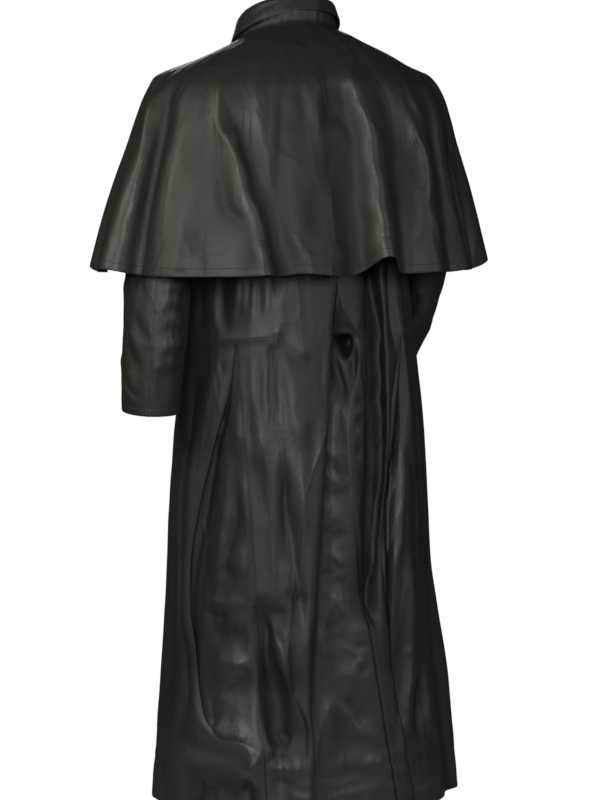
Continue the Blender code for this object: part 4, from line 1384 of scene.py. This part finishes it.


# Garment leather, dyed black and rolled to a satin finish, with broad, soft highlights. Its colour is
# painted green-grey along the ridges as painted highlight and near black in the folds as painted shade, over
# a random mottle of real tone; ridges are less rough.
@dataclass(frozen=True)
class GarmentLeather:
    """Satin black leather with a green-grey sheen, painted shade in its creases and painted highlight on its
    ridges, finely wrinkled and stitched near its edges.
    """

    name: str = "satin_black_leather"
    ior: float = 1.5
    # the near black colour is the dark end of the mottle and the painted shade in the hollows of creases;
    # the paler colour is the light end of the mottle and the painted highlight on ridges
    deep: str = "#0e110c"
    paler_tone_and_ridge_highlight: str = "#292e26"
    dull: float = 0.68
    polished: float = 0.46
    # a crease this high is fully pale and polished, one this deep fully dark and dull, as painted highlight
    # and painted shade; the rest of the colour and roughness is a random mottle
    crease_shade_mm: float = 5.0
    crease_shade_share: float = 0.8
    # width of a patch of the mottle
    mottle_mm: float = 70.0
    mottle_detail: float = 3.0
    # width of a small wrinkle
    wrinkle_mm: float = 9.0
    wrinkle_depth_mm: float = 0.4
    wrinkle_detail: float = 3.0
    wrinkle_distortion: float = 0.6
    # width of a soft rumple, which hangs down and is longer than it is wide
    rumple_mm: float = 60.0
    rumple_depth_mm: float = 1.4
    rumple_stretch: float = 0.3
    rumple_detail: float = 2.0
    rumple_offset: float = 1.0
    rumple_distortion: float = 0.5
    # width of a grain: real grain is about 0.5 mm, too fine to show, so it is drawn coarser
    grain_mm: float = 1.3
    grain_depth_mm: float = 0.05
    # half the width of the groove that a row of stitches pulls into the leather
    groove_mm: float = 1.6
    groove_depth_mm: float = 0.2

    def material(self) -> bpy.types.Material:
        """Make the leather.

        Returns:
            The material.
        """
        material = bpy.data.materials.new(self.name)
        material.use_nodes = True
        tree = material.node_tree
        shader = tree.nodes["Principled BSDF"]
        place = add_node(tree, "ShaderNodeTexCoord", {}, {}).outputs["Object"]
        mottle = add_node(
            tree, "ShaderNodeTexNoise", {"Scale": PER_METRE / self.mottle_mm, "Detail": self.mottle_detail},
            {"Vector": place},
        ).outputs["Fac"]
        # crease depth as a mask: painted shade in the hollows, painted highlight on the ridges; mixed with
        # the mottle it sets the colour and the roughness
        raised = add_node(tree, "ShaderNodeAttribute", {"attribute_name": "raised"}, {}).outputs["Fac"]
        ridge = add_node(
            tree, "ShaderNodeMapRange",
            {"interpolation_type": "SMOOTHSTEP", "From Min": -self.crease_shade_mm, "From Max": self.crease_shade_mm},
            {"Value": raised},
        ).outputs["Result"]
        mottle_and_crease_shade = add_node(
            tree, "ShaderNodeMix", {"data_type": "FLOAT", "Factor": self.crease_shade_share}, {2: mottle, 3: ridge}
        ).outputs[0]
        colour = add_node(
            tree, "ShaderNodeMix",
            {"data_type": "RGBA", 6: linear(self.deep), 7: linear(self.paler_tone_and_ridge_highlight)}, {"Factor": mottle_and_crease_shade},
        ).outputs[2]
        sheen = add_node(
            tree, "ShaderNodeMapRange", {"To Min": self.dull, "To Max": self.polished}, {"Value": mottle_and_crease_shade}
        ).outputs["Result"]
        wrinkle = add_node(
            tree, "ShaderNodeTexNoise",
            {"Scale": PER_METRE / self.wrinkle_mm, "Detail": self.wrinkle_detail,
             "Distortion": self.wrinkle_distortion},
            {"Vector": place},
        ).outputs["Fac"]
        grain = add_node(
            tree, "ShaderNodeTexVoronoi", {"feature": "SMOOTH_F1", "Scale": PER_METRE / self.grain_mm},
            {"Vector": place},
        ).outputs["Distance"]
        fine = add_node(
            tree, "ShaderNodeBump", {"Strength": 1.0, "Distance": self.grain_depth_mm * MM},
            {"Height": grain},
        ).outputs["Normal"]
        crinkled = add_node(
            tree, "ShaderNodeBump", {"Strength": 1.0, "Distance": self.wrinkle_depth_mm * MM},
            {"Height": wrinkle, "Normal": fine},
        ).outputs["Normal"]
        hanging = add_node(
            tree, "ShaderNodeMapping", {"Scale": (1.0, 1.0, self.rumple_stretch)}, {"Vector": place}
        ).outputs["Vector"]
        rumple = add_node(
            tree, "ShaderNodeTexNoise",
            {"noise_type": "RIDGED_MULTIFRACTAL", "Scale": PER_METRE / self.rumple_mm,
             "Detail": self.rumple_detail, "Offset": self.rumple_offset,
             "Distortion": self.rumple_distortion},
            {"Vector": hanging},
        ).outputs["Fac"]
        rumpled = add_node(
            tree, "ShaderNodeBump", {"Strength": 1.0, "Distance": self.rumple_depth_mm * MM},
            {"Height": rumple, "Normal": crinkled},
        ).outputs["Normal"]
        sewn = self.groove(tree, "sewn", SEAM_INSET_MM, rumpled)
        hemmed = self.groove(tree, "hemmed", HEM_INSET_MM, sewn)
        shader.inputs["IOR"].default_value = self.ior
        tree.links.new(colour, shader.inputs["Base Color"])
        tree.links.new(sheen, shader.inputs["Roughness"])
        tree.links.new(hemmed, shader.inputs["Normal"])
        return material

    def groove(
        self, tree: bpy.types.NodeTree, label: str, inset_mm: float, normal: bpy.types.NodeSocket
    ) -> bpy.types.NodeSocket:
        """Press a line of sewing into the leather, beside an edge.

        Args:
            tree: The node tree.
            label: Name of the attribute that holds the distance from the edge.
            inset_mm: Distance of the line from the edge.
            normal: The normal so far.

        Returns:
            The normal with the groove in it.
        """
        distance = add_node(tree, "ShaderNodeAttribute", {"attribute_name": label}, {}).outputs["Fac"]
        offset = add_node(
            tree, "ShaderNodeMath", {"operation": "SUBTRACT", 1: inset_mm * MM}, {0: distance}
        ).outputs[0]
        size = add_node(tree, "ShaderNodeMath", {"operation": "ABSOLUTE"}, {0: offset}).outputs[0]
        height = add_node(
            tree, "ShaderNodeMapRange",
            {"interpolation_type": "SMOOTHSTEP", "From Max": self.groove_mm * MM}, {"Value": size},
        ).outputs["Result"]
        return add_node(
            tree, "ShaderNodeBump", {"Strength": 1.0, "Distance": self.groove_depth_mm * MM},
            {"Height": height, "Normal": normal},
        ).outputs["Normal"]


@dataclass(frozen=True)
class PlainFinish:
    """A finish of one colour and one roughness."""

    name: str
    colour: str
    roughness: float
    ior: float = 1.5

    def material(self) -> bpy.types.Material:
        """Make the finish.

        Returns:
            The material.
        """
        material = bpy.data.materials.new(self.name)
        material.use_nodes = True
        shader = material.node_tree.nodes["Principled BSDF"]
        shader.inputs["Base Color"].default_value = linear(self.colour)
        shader.inputs["Roughness"].default_value = self.roughness
        shader.inputs["IOR"].default_value = self.ior
        return material


# Waxed sewing thread, dyed black: a little duller than the leather, so that a row of it shows
WAXED_THREAD = PlainFinish("black_waxed_thread", "#1b1f1a", 0.7)
# Matt painted board under the coat, which gives a pale ground with no reflection
PALE_FLOOR = PlainFinish("matt_pale_floor", "#f4f4f2", 0.9)


@dataclass(frozen=True)
class Stitching:
    """The rows of stitches of one part of the coat.

    Real stitches are about 3 mm long and 0.4 mm thick; these are coarser, so that they show.
    """

    name: str
    long_mm: float = 3.4
    thick_mm: float = 0.8
    pitch_mm: float = 4.8
    segments: int = 6
    rings: int = 3

    def stitch(self, finish: bpy.types.Material) -> bpy.types.Object:
        """Model one stitch, a short bead of thread.

        Args:
            finish: The thread.

        Returns:
            The stitch.
        """
        bpy.ops.object.select_all(action="DESELECT")
        bpy.ops.mesh.primitive_uv_sphere_add(
            segments=self.segments, ring_count=self.rings, radius=MM / 2,
            scale=(self.long_mm, self.thick_mm, self.thick_mm),
        )
        bpy.ops.object.transform_apply(location=False, rotation=False, scale=True)
        bpy.ops.object.shade_smooth()
        stitch = bpy.context.object
        stitch.data.materials.append(finish)
        return stitch

    def row(self, stitch: bpy.types.Object, line: Array) -> bpy.types.Object:
        """Repeat the stitch along a line.

        Args:
            stitch: The one stitch.
            line: Points along the row.

        Returns:
            The row.
        """
        guide = bpy.data.curves.new("sewing_line", "CURVE")
        guide.dimensions = "3D"
        spline = guide.splines.new("POLY")
        spline.points.add(len(line) - 1)
        spline.points.foreach_set("co", np.column_stack([line, np.ones(len(line))]).ravel())
        path = bpy.data.objects.new("sewing_line", guide)
        bpy.context.scene.collection.objects.link(path)
        bpy.ops.object.select_all(action="DESELECT")
        stitch.select_set(True)
        bpy.context.view_layer.objects.active = stitch
        bpy.ops.object.duplicate()
        row = bpy.context.object
        repeat = row.modifiers.new("Repeat", "ARRAY")
        repeat.fit_type = "FIT_CURVE"
        repeat.curve = path
        repeat.use_relative_offset = False
        repeat.use_constant_offset = True
        repeat.constant_offset_displace = (self.pitch_mm * MM, 0, 0)
        follow = row.modifiers.new("Follow", "CURVE")
        follow.object = path
        bpy.ops.object.modifier_apply(modifier=repeat.name)
        bpy.ops.object.modifier_apply(modifier=follow.name)
        bpy.data.objects.remove(path)
        return row

    def sew(self, lines: Sequence[Array], finish: bpy.types.Material) -> bpy.types.Object:
        """Sew every line and join the rows.

        Args:
            lines: Points along each row.
            finish: The thread.

        Returns:
            The stitches as one piece.
        """
        stitch = self.stitch(finish)
        rows = [self.row(stitch, line) for line in lines]
        bpy.data.objects.remove(stitch)
        bpy.ops.object.select_all(action="DESELECT")
        for row in rows:
            row.select_set(True)
        bpy.context.view_layer.objects.active = rows[0]
        bpy.ops.object.join()
        piece = bpy.context.object
        piece.name = self.name
        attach(piece, "root")
        LOG.info("%s: %d rows, %d faces", self.name, len(rows), len(piece.data.polygons))
        return piece


@dataclass(frozen=True)
class Body:
    """The backs, side backs, side skirts, underlays and fronts."""

    label: str = "body"
    tuck: float = 3.2
    return_tuck: float = 9.0
    clearance: float = 0.0045
    pleat_deep: float = 0.024
    seam_rolls: tuple[tuple[float, float], ...] = (
        (-1.32, 0.5), (-1.05, 2.0), (-0.92, 9.0), (-0.64, 9.0), (-0.56, 3.0), (WAIST, 0.5), (-0.20, 0.5)
    )
    seam_reach_mm: float = 17.0
    pleat_opens: float = 0.35
    pleat_closes: float = 0.36
    pleat_closed: float = 0.74
    pleat_roll_mm: float = 5.0
    pleat_reach_mm: float = 15.0
    pleat_shut: float = 0.8
    pleat_curve: float = 1.5
    roll_fade: float = 0.3
    fold_turn: float = 1.0
    pleat_overlap: float = 0.025
    foot_clearance: float = 0.0024
    foot_reach: float = 0.12
    vent_rolls: tuple[tuple[float, float], ...] = (
        (-1.32, 6.0), (-1.00, 7.0), (-0.85, 6.0), (-0.62, 4.5), (-0.50, 3.6), (-0.42, 1.2), (-0.20, 0.8)
    )
    vent_reach_mm: float = 15.0
    vent_deep: float = 0.018
    vent_top: float = -0.40
    front_lap: float = 8.0
    lap_start: float = 156.0
    lap_full: float = 168.0
    lap_level: float = 0.006
    seam_gap: float = 0.00015
    waist_gap: float = 0.00015
    extra_share: float = 0.4
    waist_share: float = 0.6
    blade_share: float = 0.84

    def seam_turn(self, z: Array) -> Array:
        """Half a seam gap as an angle, in degrees, at some heights."""
        columns = Ring(*np.array(BODY_STACK.rings).T)
        return np.degrees(self.seam_gap / 2 / monotone(z, columns.z, columns.back))

    def level(self, up: Array) -> Array:
        """Height of each row of a whole panel, with rows on the waist and at the top of the side back."""
        return np.interp(up, (0.0, self.waist_share, self.blade_share, 1.0), (HEM, WAIST, BLADE, NECK_TOP))

    def back(self, side: Side) -> Cut:
        """Centre-back bodice and skirt in one, wider below the waist.

        Args:
            side: Which back.

        Returns:
            The cut piece.
        """
        left = side is Side.LEFT
        outer = PLEAT_SEAM_LEFT if left else PLEAT_SEAM_RIGHT
        middle = PANEL_LEFT if left else PANEL_RIGHT
        edge = BACK_EDGE if left else BACK_EDGE.mirrored()

        def chart(u: Array, v: Array) -> tuple[Array, Array, Array]:
            """Angle, level and distance out at shares u across and v up the piece."""
            z = self.level(v)
            gap = side.value * self.seam_turn(z)
            inward = u if left else 1 - u
            far = skirt_angle(outer, z) - gap
            step_line = np.where(z < WAIST, skirt_angle(middle, z), bodice_angle(edge, z) - gap)
            centre = vent_angle(side, z) + gap
            on_extra = mix(far, step_line, inward / self.extra_share)
            on_main = mix(step_line, centre, (inward - self.extra_share) / (1 - self.extra_share))
            return np.where(inward < self.extra_share, on_extra, on_main), z, np.zeros_like(z)

        def keep(u: Array, v: Array) -> Array:
            """True below the waist, and above it for the part next to the centre."""
            return ((u if left else 1 - u) > self.extra_share) | (v < self.waist_share)

        inner = Edge.END if left else Edge.START
        outer_edge = Edge.START if left else Edge.END
        if left:
            vent_roll = Roll(inner, 1.0, self.vent_reach_mm, self.vent_rolls)
            rolls = (vent_roll, Roll(outer_edge, depth_mm=1.0, reach_mm=4.0))
        else:
            seam_roll = Roll(outer_edge, 1.0, self.seam_reach_mm, self.seam_rolls)
            rolls = (Roll(inner, depth_mm=1.4, reach_mm=5.0), seam_roll)
        return Cut(
            "back_" + side.name.lower(), BodyForm(), chart, BODY_RELIEF, rolls=rolls,
            hemmed=(Edge.LOW,), sewn=(inner, outer_edge), keep=keep,
            across_line=self.extra_share if left else 1 - self.extra_share, up_line=self.waist_share,
        )

    def side_back(self, side: Side) -> Cut:
        """Bodice panel between the back and the side seam.

        Args:
            side: Which side.

        Returns:
            The cut piece.
        """
        left = side is Side.LEFT
        edge = BACK_EDGE if left else BACK_EDGE.mirrored()
        side_line = side.value * SIDE_LEFT.waist

        def chart(u: Array, v: Array) -> tuple[Array, Array, Array]:
            """Angle, level and distance out at shares u across and v up the piece."""
            outward = 1 - u if left else u
            top = mix(BLADE, UNDERARM, outward**ARMHOLE_CURVE) - self.seam_gap
            z = mix(WAIST + self.waist_gap, top, v)
            gap = side.value * self.seam_turn(z)
            return mix(bodice_angle(edge, z) + gap, side_line - gap, outward), z, np.zeros_like(z)

        name = "side_back_" + side.name.lower()
        return Cut(name, BodyForm(), chart, BODY_RELIEF, sewn=(Edge.LOW,))

    def side_skirt(self, side: Side) -> Cut:
        """Skirt panel from the pleat's fold to the side seam.

        Args:
            side: Which side.

        Returns:
            The cut piece.
        """
        left = side is Side.LEFT
        side_line = SIDE_LEFT if left else SIDE_LEFT.mirrored()

        def chart(u: Array, v: Array) -> tuple[Array, Array, Array]:
            """Angle, level and distance out at shares u across and v up the piece."""
            outward = 1 - u if left else u
            z = mix(HEM, WAIST - self.seam_gap, v)
            gap = side.value * self.seam_turn(z)
            angle = mix(pleat_angle(side, z) + gap, skirt_angle(side_line, z) - gap, outward)
            return angle, z, np.zeros_like(z)

        lowest = (PLEAT_LEFT if left else PLEAT_RIGHT)[0].z
        shares = ((lowest, 0.1), (lowest + 0.06, 0.7), (lowest + 0.16, 1.0), (-0.62, 1.0), (WAIST, 0.2))
        fold = Edge.END if left else Edge.START
        roll = Roll(fold, self.pleat_roll_mm, self.pleat_reach_mm, shares)
        name = "side_skirt_" + side.name.lower()
        return Cut(name, BodyForm(), chart, BODY_RELIEF, rolls=(roll,), hemmed=(Edge.LOW,))

    def pleat_underlay(self, side: Side) -> Cut:
        """Strip that closes the side pleat from behind.

        Args:
            side: Which side.

        Returns:
            The cut piece.
        """
        left = side is Side.LEFT
        seam = PLEAT_SEAM_LEFT if left else PLEAT_SEAM_RIGHT

        def chart(u: Array, v: Array) -> tuple[Array, Array, Array]:
            """Angle, level and distance out at shares u across and v up the piece."""
            outward = 1 - u if left else u
            z = mix(HEM + self.seam_gap, WAIST - self.seam_gap, v)
            inner = skirt_angle(seam, z) - side.value * self.tuck
            here, above = pleat_angle(side, z), pleat_angle(side, z + self.pleat_overlap)
            fold = np.maximum(here, above) if left else np.minimum(here, above)
            angle = mix(inner, fold + side.value * self.return_tuck, outward)
            across = np.clip((angle - inner) / (fold - inner), 0.0, 1.0)
            back_up = 1 - rise(self.fold_turn, self.return_tuck, side.value * (angle - fold))
            shut = self.pleat_shut * rise(self.pleat_closes, self.pleat_closed, 1 - v)
            opened = rise(0.0, self.pleat_opens, 1 - v) * (1 - shut)
            rolled = np.zeros_like(z) if left else monotone(z, *zip(*self.seam_rolls)) * MM
            sunk = self.pleat_deep * opened * across**self.pleat_curve * back_up
            deep = rolled * (1 - rise(self.roll_fade, 1.0, across)) + sunk
            foot = (PLEAT_LEFT if left else PLEAT_RIGHT)[0].z
            clear = mix(self.foot_clearance, self.clearance, rise(foot, foot + self.foot_reach, z))
            return angle, z, -clear - deep

        name = "pleat_underlay_" + side.name.lower()
        own = PLEAT_RELIEF if left else None
        return Cut(name, BodyForm(), chart, BODY_RELIEF, hemmed=(Edge.LOW,), own=own)

    def vent_underlay(self) -> Cut:
        """Wedge that shows between the two backs.

        Returns:
            The cut piece.
        """

        def chart(u: Array, v: Array) -> tuple[Array, Array, Array]:
            """Angle, level and distance out at shares u across and v up the piece."""
            z = mix(HEM + self.seam_gap, self.vent_top, v)
            edge = vent_angle(Side.LEFT, z)
            right = vent_angle(Side.RIGHT, z) - self.tuck
            angle = mix(edge + self.return_tuck, right, u)
            rolled = monotone(z, *zip(*self.vent_rolls)) * MM
            deep = rolled + self.vent_deep * rise(self.vent_top, WAIST, z)
            across = (edge - angle) / (edge - right)
            back_up = rise(-self.return_tuck, -self.fold_turn, edge - angle)
            return angle, z, -self.clearance - deep * back_up * (1 - rise(self.roll_fade, 1.0, across))

        return Cut(
            "vent_underlay", BodyForm(), chart, BODY_RELIEF, hemmed=(Edge.LOW,), own=VENT_RELIEF, cell=0.0036
        )

    def front(self, side: Side) -> Cut:
        """Whole front from shoulder to hem, lapped past the centre.

        Args:
            side: Which front.

        Returns:
            The cut piece.
        """
        left = side is Side.LEFT
        side_line = SIDE_LEFT if left else SIDE_LEFT.mirrored()
        edge = FRONT_EDGE if left else FRONT_EDGE.mirrored()

        def chart(u: Array, v: Array) -> tuple[Array, Array, Array]:
            """Angle, level and distance out at shares u across and v up the piece."""
            outward = u if left else 1 - u
            z = self.level(v)
            line = np.where(z < WAIST, skirt_angle(side_line, z), bodice_angle(edge, z))
            lapped = side.value * (180.0 + self.front_lap)
            angle = mix(lapped, line + side.value * self.seam_turn(z), outward)
            lap = rise(self.lap_start, self.lap_full, np.abs(angle))
            return angle, z, side.value * lap * self.lap_level / 2

        inner = Edge.START if left else Edge.END
        return Cut(
            "front_" + side.name.lower(), BodyForm(), chart, BODY_RELIEF,
            rolls=(Roll(inner, depth_mm=3.0, reach_mm=10.0),), hemmed=(Edge.LOW,), sewn=(inner,), cell=0.008,
        )

    def cuts(self) -> list[Cut]:
        """Every piece of the body.

        Returns:
            The cut pieces.
        """
        pieces = [self.vent_underlay()]
        for side in Side:
            pieces += [self.back(side), self.side_back(side), self.side_skirt(side)]
            pieces += [self.pleat_underlay(side), self.front(side)]
        return pieces


@dataclass(frozen=True)
class Cape:
    """The back and the two fronts of the cape."""

    label: str = "cape"
    seam_top: float = 92.0
    seam_hem: float = 112.0
    seam_turn: float = 0.22
    seam_lap: float = 2.0
    lap_depth: float = 0.0026
    lap_from: float = 0.86
    lap_full: float = 0.92
    front_edge: float = 176.0
    front_opening: float = 8.0

    def back(self) -> Cut:
        """Back of the cape, from seam to seam over the shoulders.

        Returns:
            The cut piece.
        """
        form = CapeForm()

        def chart(u: Array, v: Array) -> tuple[Array, Array, Array]:
            """Angle, level and distance out at shares u across and v up the piece."""
            seam = mix(self.seam_top, self.seam_hem, 1 - v) - self.seam_turn
            return mix(seam, -seam, u), mix(form.hem, form.top, v), np.zeros_like(u)

        return Cut("cape_back", form, chart, CAPE_RELIEF, hemmed=(Edge.LOW,), cell=0.0046)

    def front(self, side: Side) -> Cut:
        """Front of the cape, from the shoulder seam to the open front edge.

        Args:
            side: Which front.

        Returns:
            The cut piece.
        """
        form = CapeForm()
        left = side is Side.LEFT

        def chart(u: Array, v: Array) -> tuple[Array, Array, Array]:
            """Angle, level and distance out at shares u across and v up the piece."""
            outward = u if left else 1 - u
            edge = self.front_edge - self.front_opening * (1 - v)
            seam = mix(self.seam_top, self.seam_hem, 1 - v) - self.seam_lap
            out = -self.lap_depth * rise(self.lap_from, self.lap_full, outward)
            return side.value * mix(edge, seam, outward), mix(form.hem, form.top, v), out

        inner = Edge.START if left else Edge.END
        return Cut(
            "cape_front_" + side.name.lower(), form, chart, CAPE_RELIEF,
            rolls=(Roll(inner, depth_mm=2.0, reach_mm=8.0),), hemmed=(Edge.LOW,), sewn=(inner,), cell=0.006,
        )

    def cuts(self) -> list[Cut]:
        """Every piece of the cape."""
        return [self.back(), self.front(Side.LEFT), self.front(Side.RIGHT)]


@dataclass(frozen=True)
class Sleeve:
    """The top sleeve and the under sleeve of one arm."""

    side: Side
    back_seam: float = 65.0
    front_seam: float = -115.0
    seam_turn: float = 0.08

    @property
    def label(self) -> str:
        """Name of the sleeve."""
        return self.side.name.lower() + "_sleeve"

    def piece(self, upper: bool) -> Cut:
        """One piece of the sleeve, from the armhole to the cuff.

        Args:
            upper: True for the top sleeve.

        Returns:
            The cut piece.
        """
        form = SleeveForm(self.side)
        start = self.front_seam if upper else self.back_seam
        end = self.back_seam if upper else self.front_seam + 360.0

        def chart(u: Array, v: Array) -> tuple[Array, Array, Array]:
            """Angle, level and distance out at shares u across and v up the piece."""
            round_arm = u if self.side is Side.LEFT else 1 - u
            turn = mix(start + self.seam_turn, end - self.seam_turn, round_arm)
            return turn, -form.length * (1 - v), np.zeros_like(u)

        name = ("top_sleeve_" if upper else "under_sleeve_") + self.side.name.lower()
        sewn = (Edge.START, Edge.END) if upper else ()
        return Cut(name, form, chart, SLEEVE_RELIEF, hemmed=(Edge.LOW,), sewn=sewn)

    def cuts(self) -> list[Cut]:
        """Both pieces of the sleeve."""
        return [self.piece(upper=True), self.piece(upper=False)]


@dataclass(frozen=True)
class Collar:
    """The collar's stand and its turned-down fall."""

    label: str = "collar"
    front: float = 170.0
    gap: float = 0.0035
    lengths: tuple[tuple[float, float], ...] = (
        (-170.0, 0.047), (-120.0, 0.046), (-60.0, 0.0345), (5.0, 0.0325), (45.0, 0.039), (90.0, 0.0455),
        (170.0, 0.047),
    )
    fall_top: float = -0.001
    roll: float = 0.008
    flare: float = 0.004
    crown: float = 0.003
    roll_share: float = 0.4
    fall_start: float = 0.1

    def stand(self) -> Cut:
        """Upright band on the neck seam.

        Returns:
            The cut piece.
        """
        form = CollarForm()

        def chart(u: Array, v: Array) -> tuple[Array, Array, Array]:
            """Angle, level and distance out at shares u across and v up the piece."""
            level = mix(self.gap, form.stand - 2 * self.gap, v)
            return mix(self.front, -self.front, u), level, np.zeros_like(u)

        return Cut("collar_stand", form, chart, COLLAR_RELIEF, cell=0.004)

    def fall(self) -> Cut:
        """Turned-down part, rolled over the stand's top.

        Returns:
            The cut piece.
        """
        form = CollarForm()

        def chart(u: Array, v: Array) -> tuple[Array, Array, Array]:
            """Angle, level and distance out at shares u across and v up the piece."""
            angle = mix(self.front, -self.front, u)
            long = monotone(angle, *zip(*self.lengths))
            down = 1 - v
            roll = np.sin(np.pi * np.clip(down / self.roll_share, 0.0, 1.0) / 2)
            fallen = long * np.maximum(down - self.fall_start, 0.0)
            level = form.stand - fallen + self.crown * np.sin(np.pi * down)
            return angle, level, self.fall_top + self.roll * roll + self.flare * down * down

        rolls = (Roll(Edge.START, 2.0, 8.0), Roll(Edge.END, 2.0, 8.0), Roll(Edge.LOW, 0.8, 4.0))
        sewn = (Edge.START, Edge.LOW, Edge.END)
        return Cut("collar_fall", form, chart, COLLAR_RELIEF, rolls=rolls, sewn=sewn, cell=0.003)

    def cuts(self) -> list[Cut]:
        """Both pieces of the collar."""
        return [self.stand(), self.fall()]


@dataclass(frozen=True)
class Softbox:
    """A square soft light, by its place round the coat."""

    name: str
    azimuth: float
    elevation: float
    distance: float
    size: float
    watts: float
    colour: str

    def build(self, target: Vector) -> bpy.types.Object:
        """Hang the light and turn it to the coat.

        Args:
            target: Where it points.

        Returns:
            The light.
        """
        place = target + around(self.azimuth, self.elevation) * self.distance
        bpy.ops.object.light_add(type="AREA", location=place)
        light = bpy.context.object
        light.name = self.name
        light.data.shape = "SQUARE"
        light.data.size = self.size
        light.data.energy = self.watts
        light.data.color = linear(self.colour)[:3]
        light.rotation_euler = (target - light.location).to_track_quat("-Z", "Y").to_euler()
        return light


def around(azimuth: float, elevation: float) -> Vector:
    """Direction out to a place round the coat.

    Args:
        azimuth: Degrees round, 0 in front of the coat.
        elevation: Degrees above level.

    Returns:
        A unit vector.
    """
    flat = math.cos(math.radians(elevation))
    turn = math.radians(azimuth)
    return Vector((math.sin(turn) * flat, -math.cos(turn) * flat, math.sin(math.radians(elevation))))


@dataclass(frozen=True)
class Studio:
    """Camera, soft lights, pale floor and pale surround."""

    azimuth: float = 155.0
    elevation: float = 5.0
    distance: float = 4.45
    lens: float = 117.0
    sensor: float = 36.0
    target: tuple[float, float, float] = (0.0, 0.0, -0.641)
    floor_level: float = -1.53
    floor_radius: float = 0.8
    floor_sides: int = 128
    surround: float = 0.03
    lights: tuple[Softbox, ...] = (
        Softbox("left_softbox", 101.0, 32.0, 2.2, 0.8, 16.0, "#fcfeec"),
        Softbox("front_softbox", 149.0, 15.0, 2.5, 0.7, 34.0, "#fbfff0"),
        Softbox("right_softbox", 210.0, 16.0, 4.0, 1.0, 34.0, "#e9f0fb"),
        Softbox("far_softbox", 340.0, 18.0, 3.6, 1.4, 55.0, "#f9fcfa"),
    )

    def build(self) -> None:
        """Set up the studio round the coat."""
        target = Vector(self.target)
        bpy.ops.object.camera_add(location=target + around(self.azimuth, self.elevation) * self.distance)
        camera = bpy.context.object
        camera.name = "photo_camera"
        camera.data.lens = self.lens
        camera.data.sensor_width = self.sensor
        camera.data.sensor_fit = "AUTO"
        camera.rotation_euler = (target - camera.location).to_track_quat("-Z", "Y").to_euler()
        bpy.context.scene.camera = camera
        for light in self.lights:
            light.build(target)
        bpy.ops.mesh.primitive_circle_add(
            vertices=self.floor_sides, radius=self.floor_radius, fill_type="NGON",
            location=(0, 0, self.floor_level),
        )
        floor = bpy.context.object
        floor.name = "pale_floor"
        floor.data.materials.append(PALE_FLOOR.material())
        self.light_surround()
        bpy.context.scene.view_settings.view_transform = "Standard"

    def light_surround(self) -> None:
        """A white backdrop that only dimly lights the leather."""
        world = bpy.data.worlds.new("pale_surround")
        world.use_nodes = True
        bpy.context.scene.world = world
        tree = world.node_tree
        background = tree.nodes["Background"]
        seen = add_node(tree, "ShaderNodeLightPath", {}, {}).outputs["Is Camera Ray"]
        strength = add_node(
            tree, "ShaderNodeMapRange", {"To Min": self.surround, "To Max": 1.0}, {"Value": seen}
        ).outputs["Result"]
        tree.links.new(strength, background.inputs["Strength"])
        background.inputs["Color"].default_value = (1.0, 1.0, 1.0, 1.0)


def main() -> None:
    """Build the coat piece by piece, then the studio."""
    logging.basicConfig(level=logging.INFO, format="%(message)s")
    leather = GarmentLeather().material()
    thread = WAXED_THREAD.material()
    for assembly in (Collar(), Cape(), Body(), Sleeve(Side.LEFT), Sleeve(Side.RIGHT)):
        cuts = assembly.cuts()
        for cut in cuts:
            cut.build(leather)
        Stitching(assembly.label + "_stitches").sew([line for cut in cuts for line in cut.rows], thread)
    Studio().build()


if __name__ == "__main__":
    main()
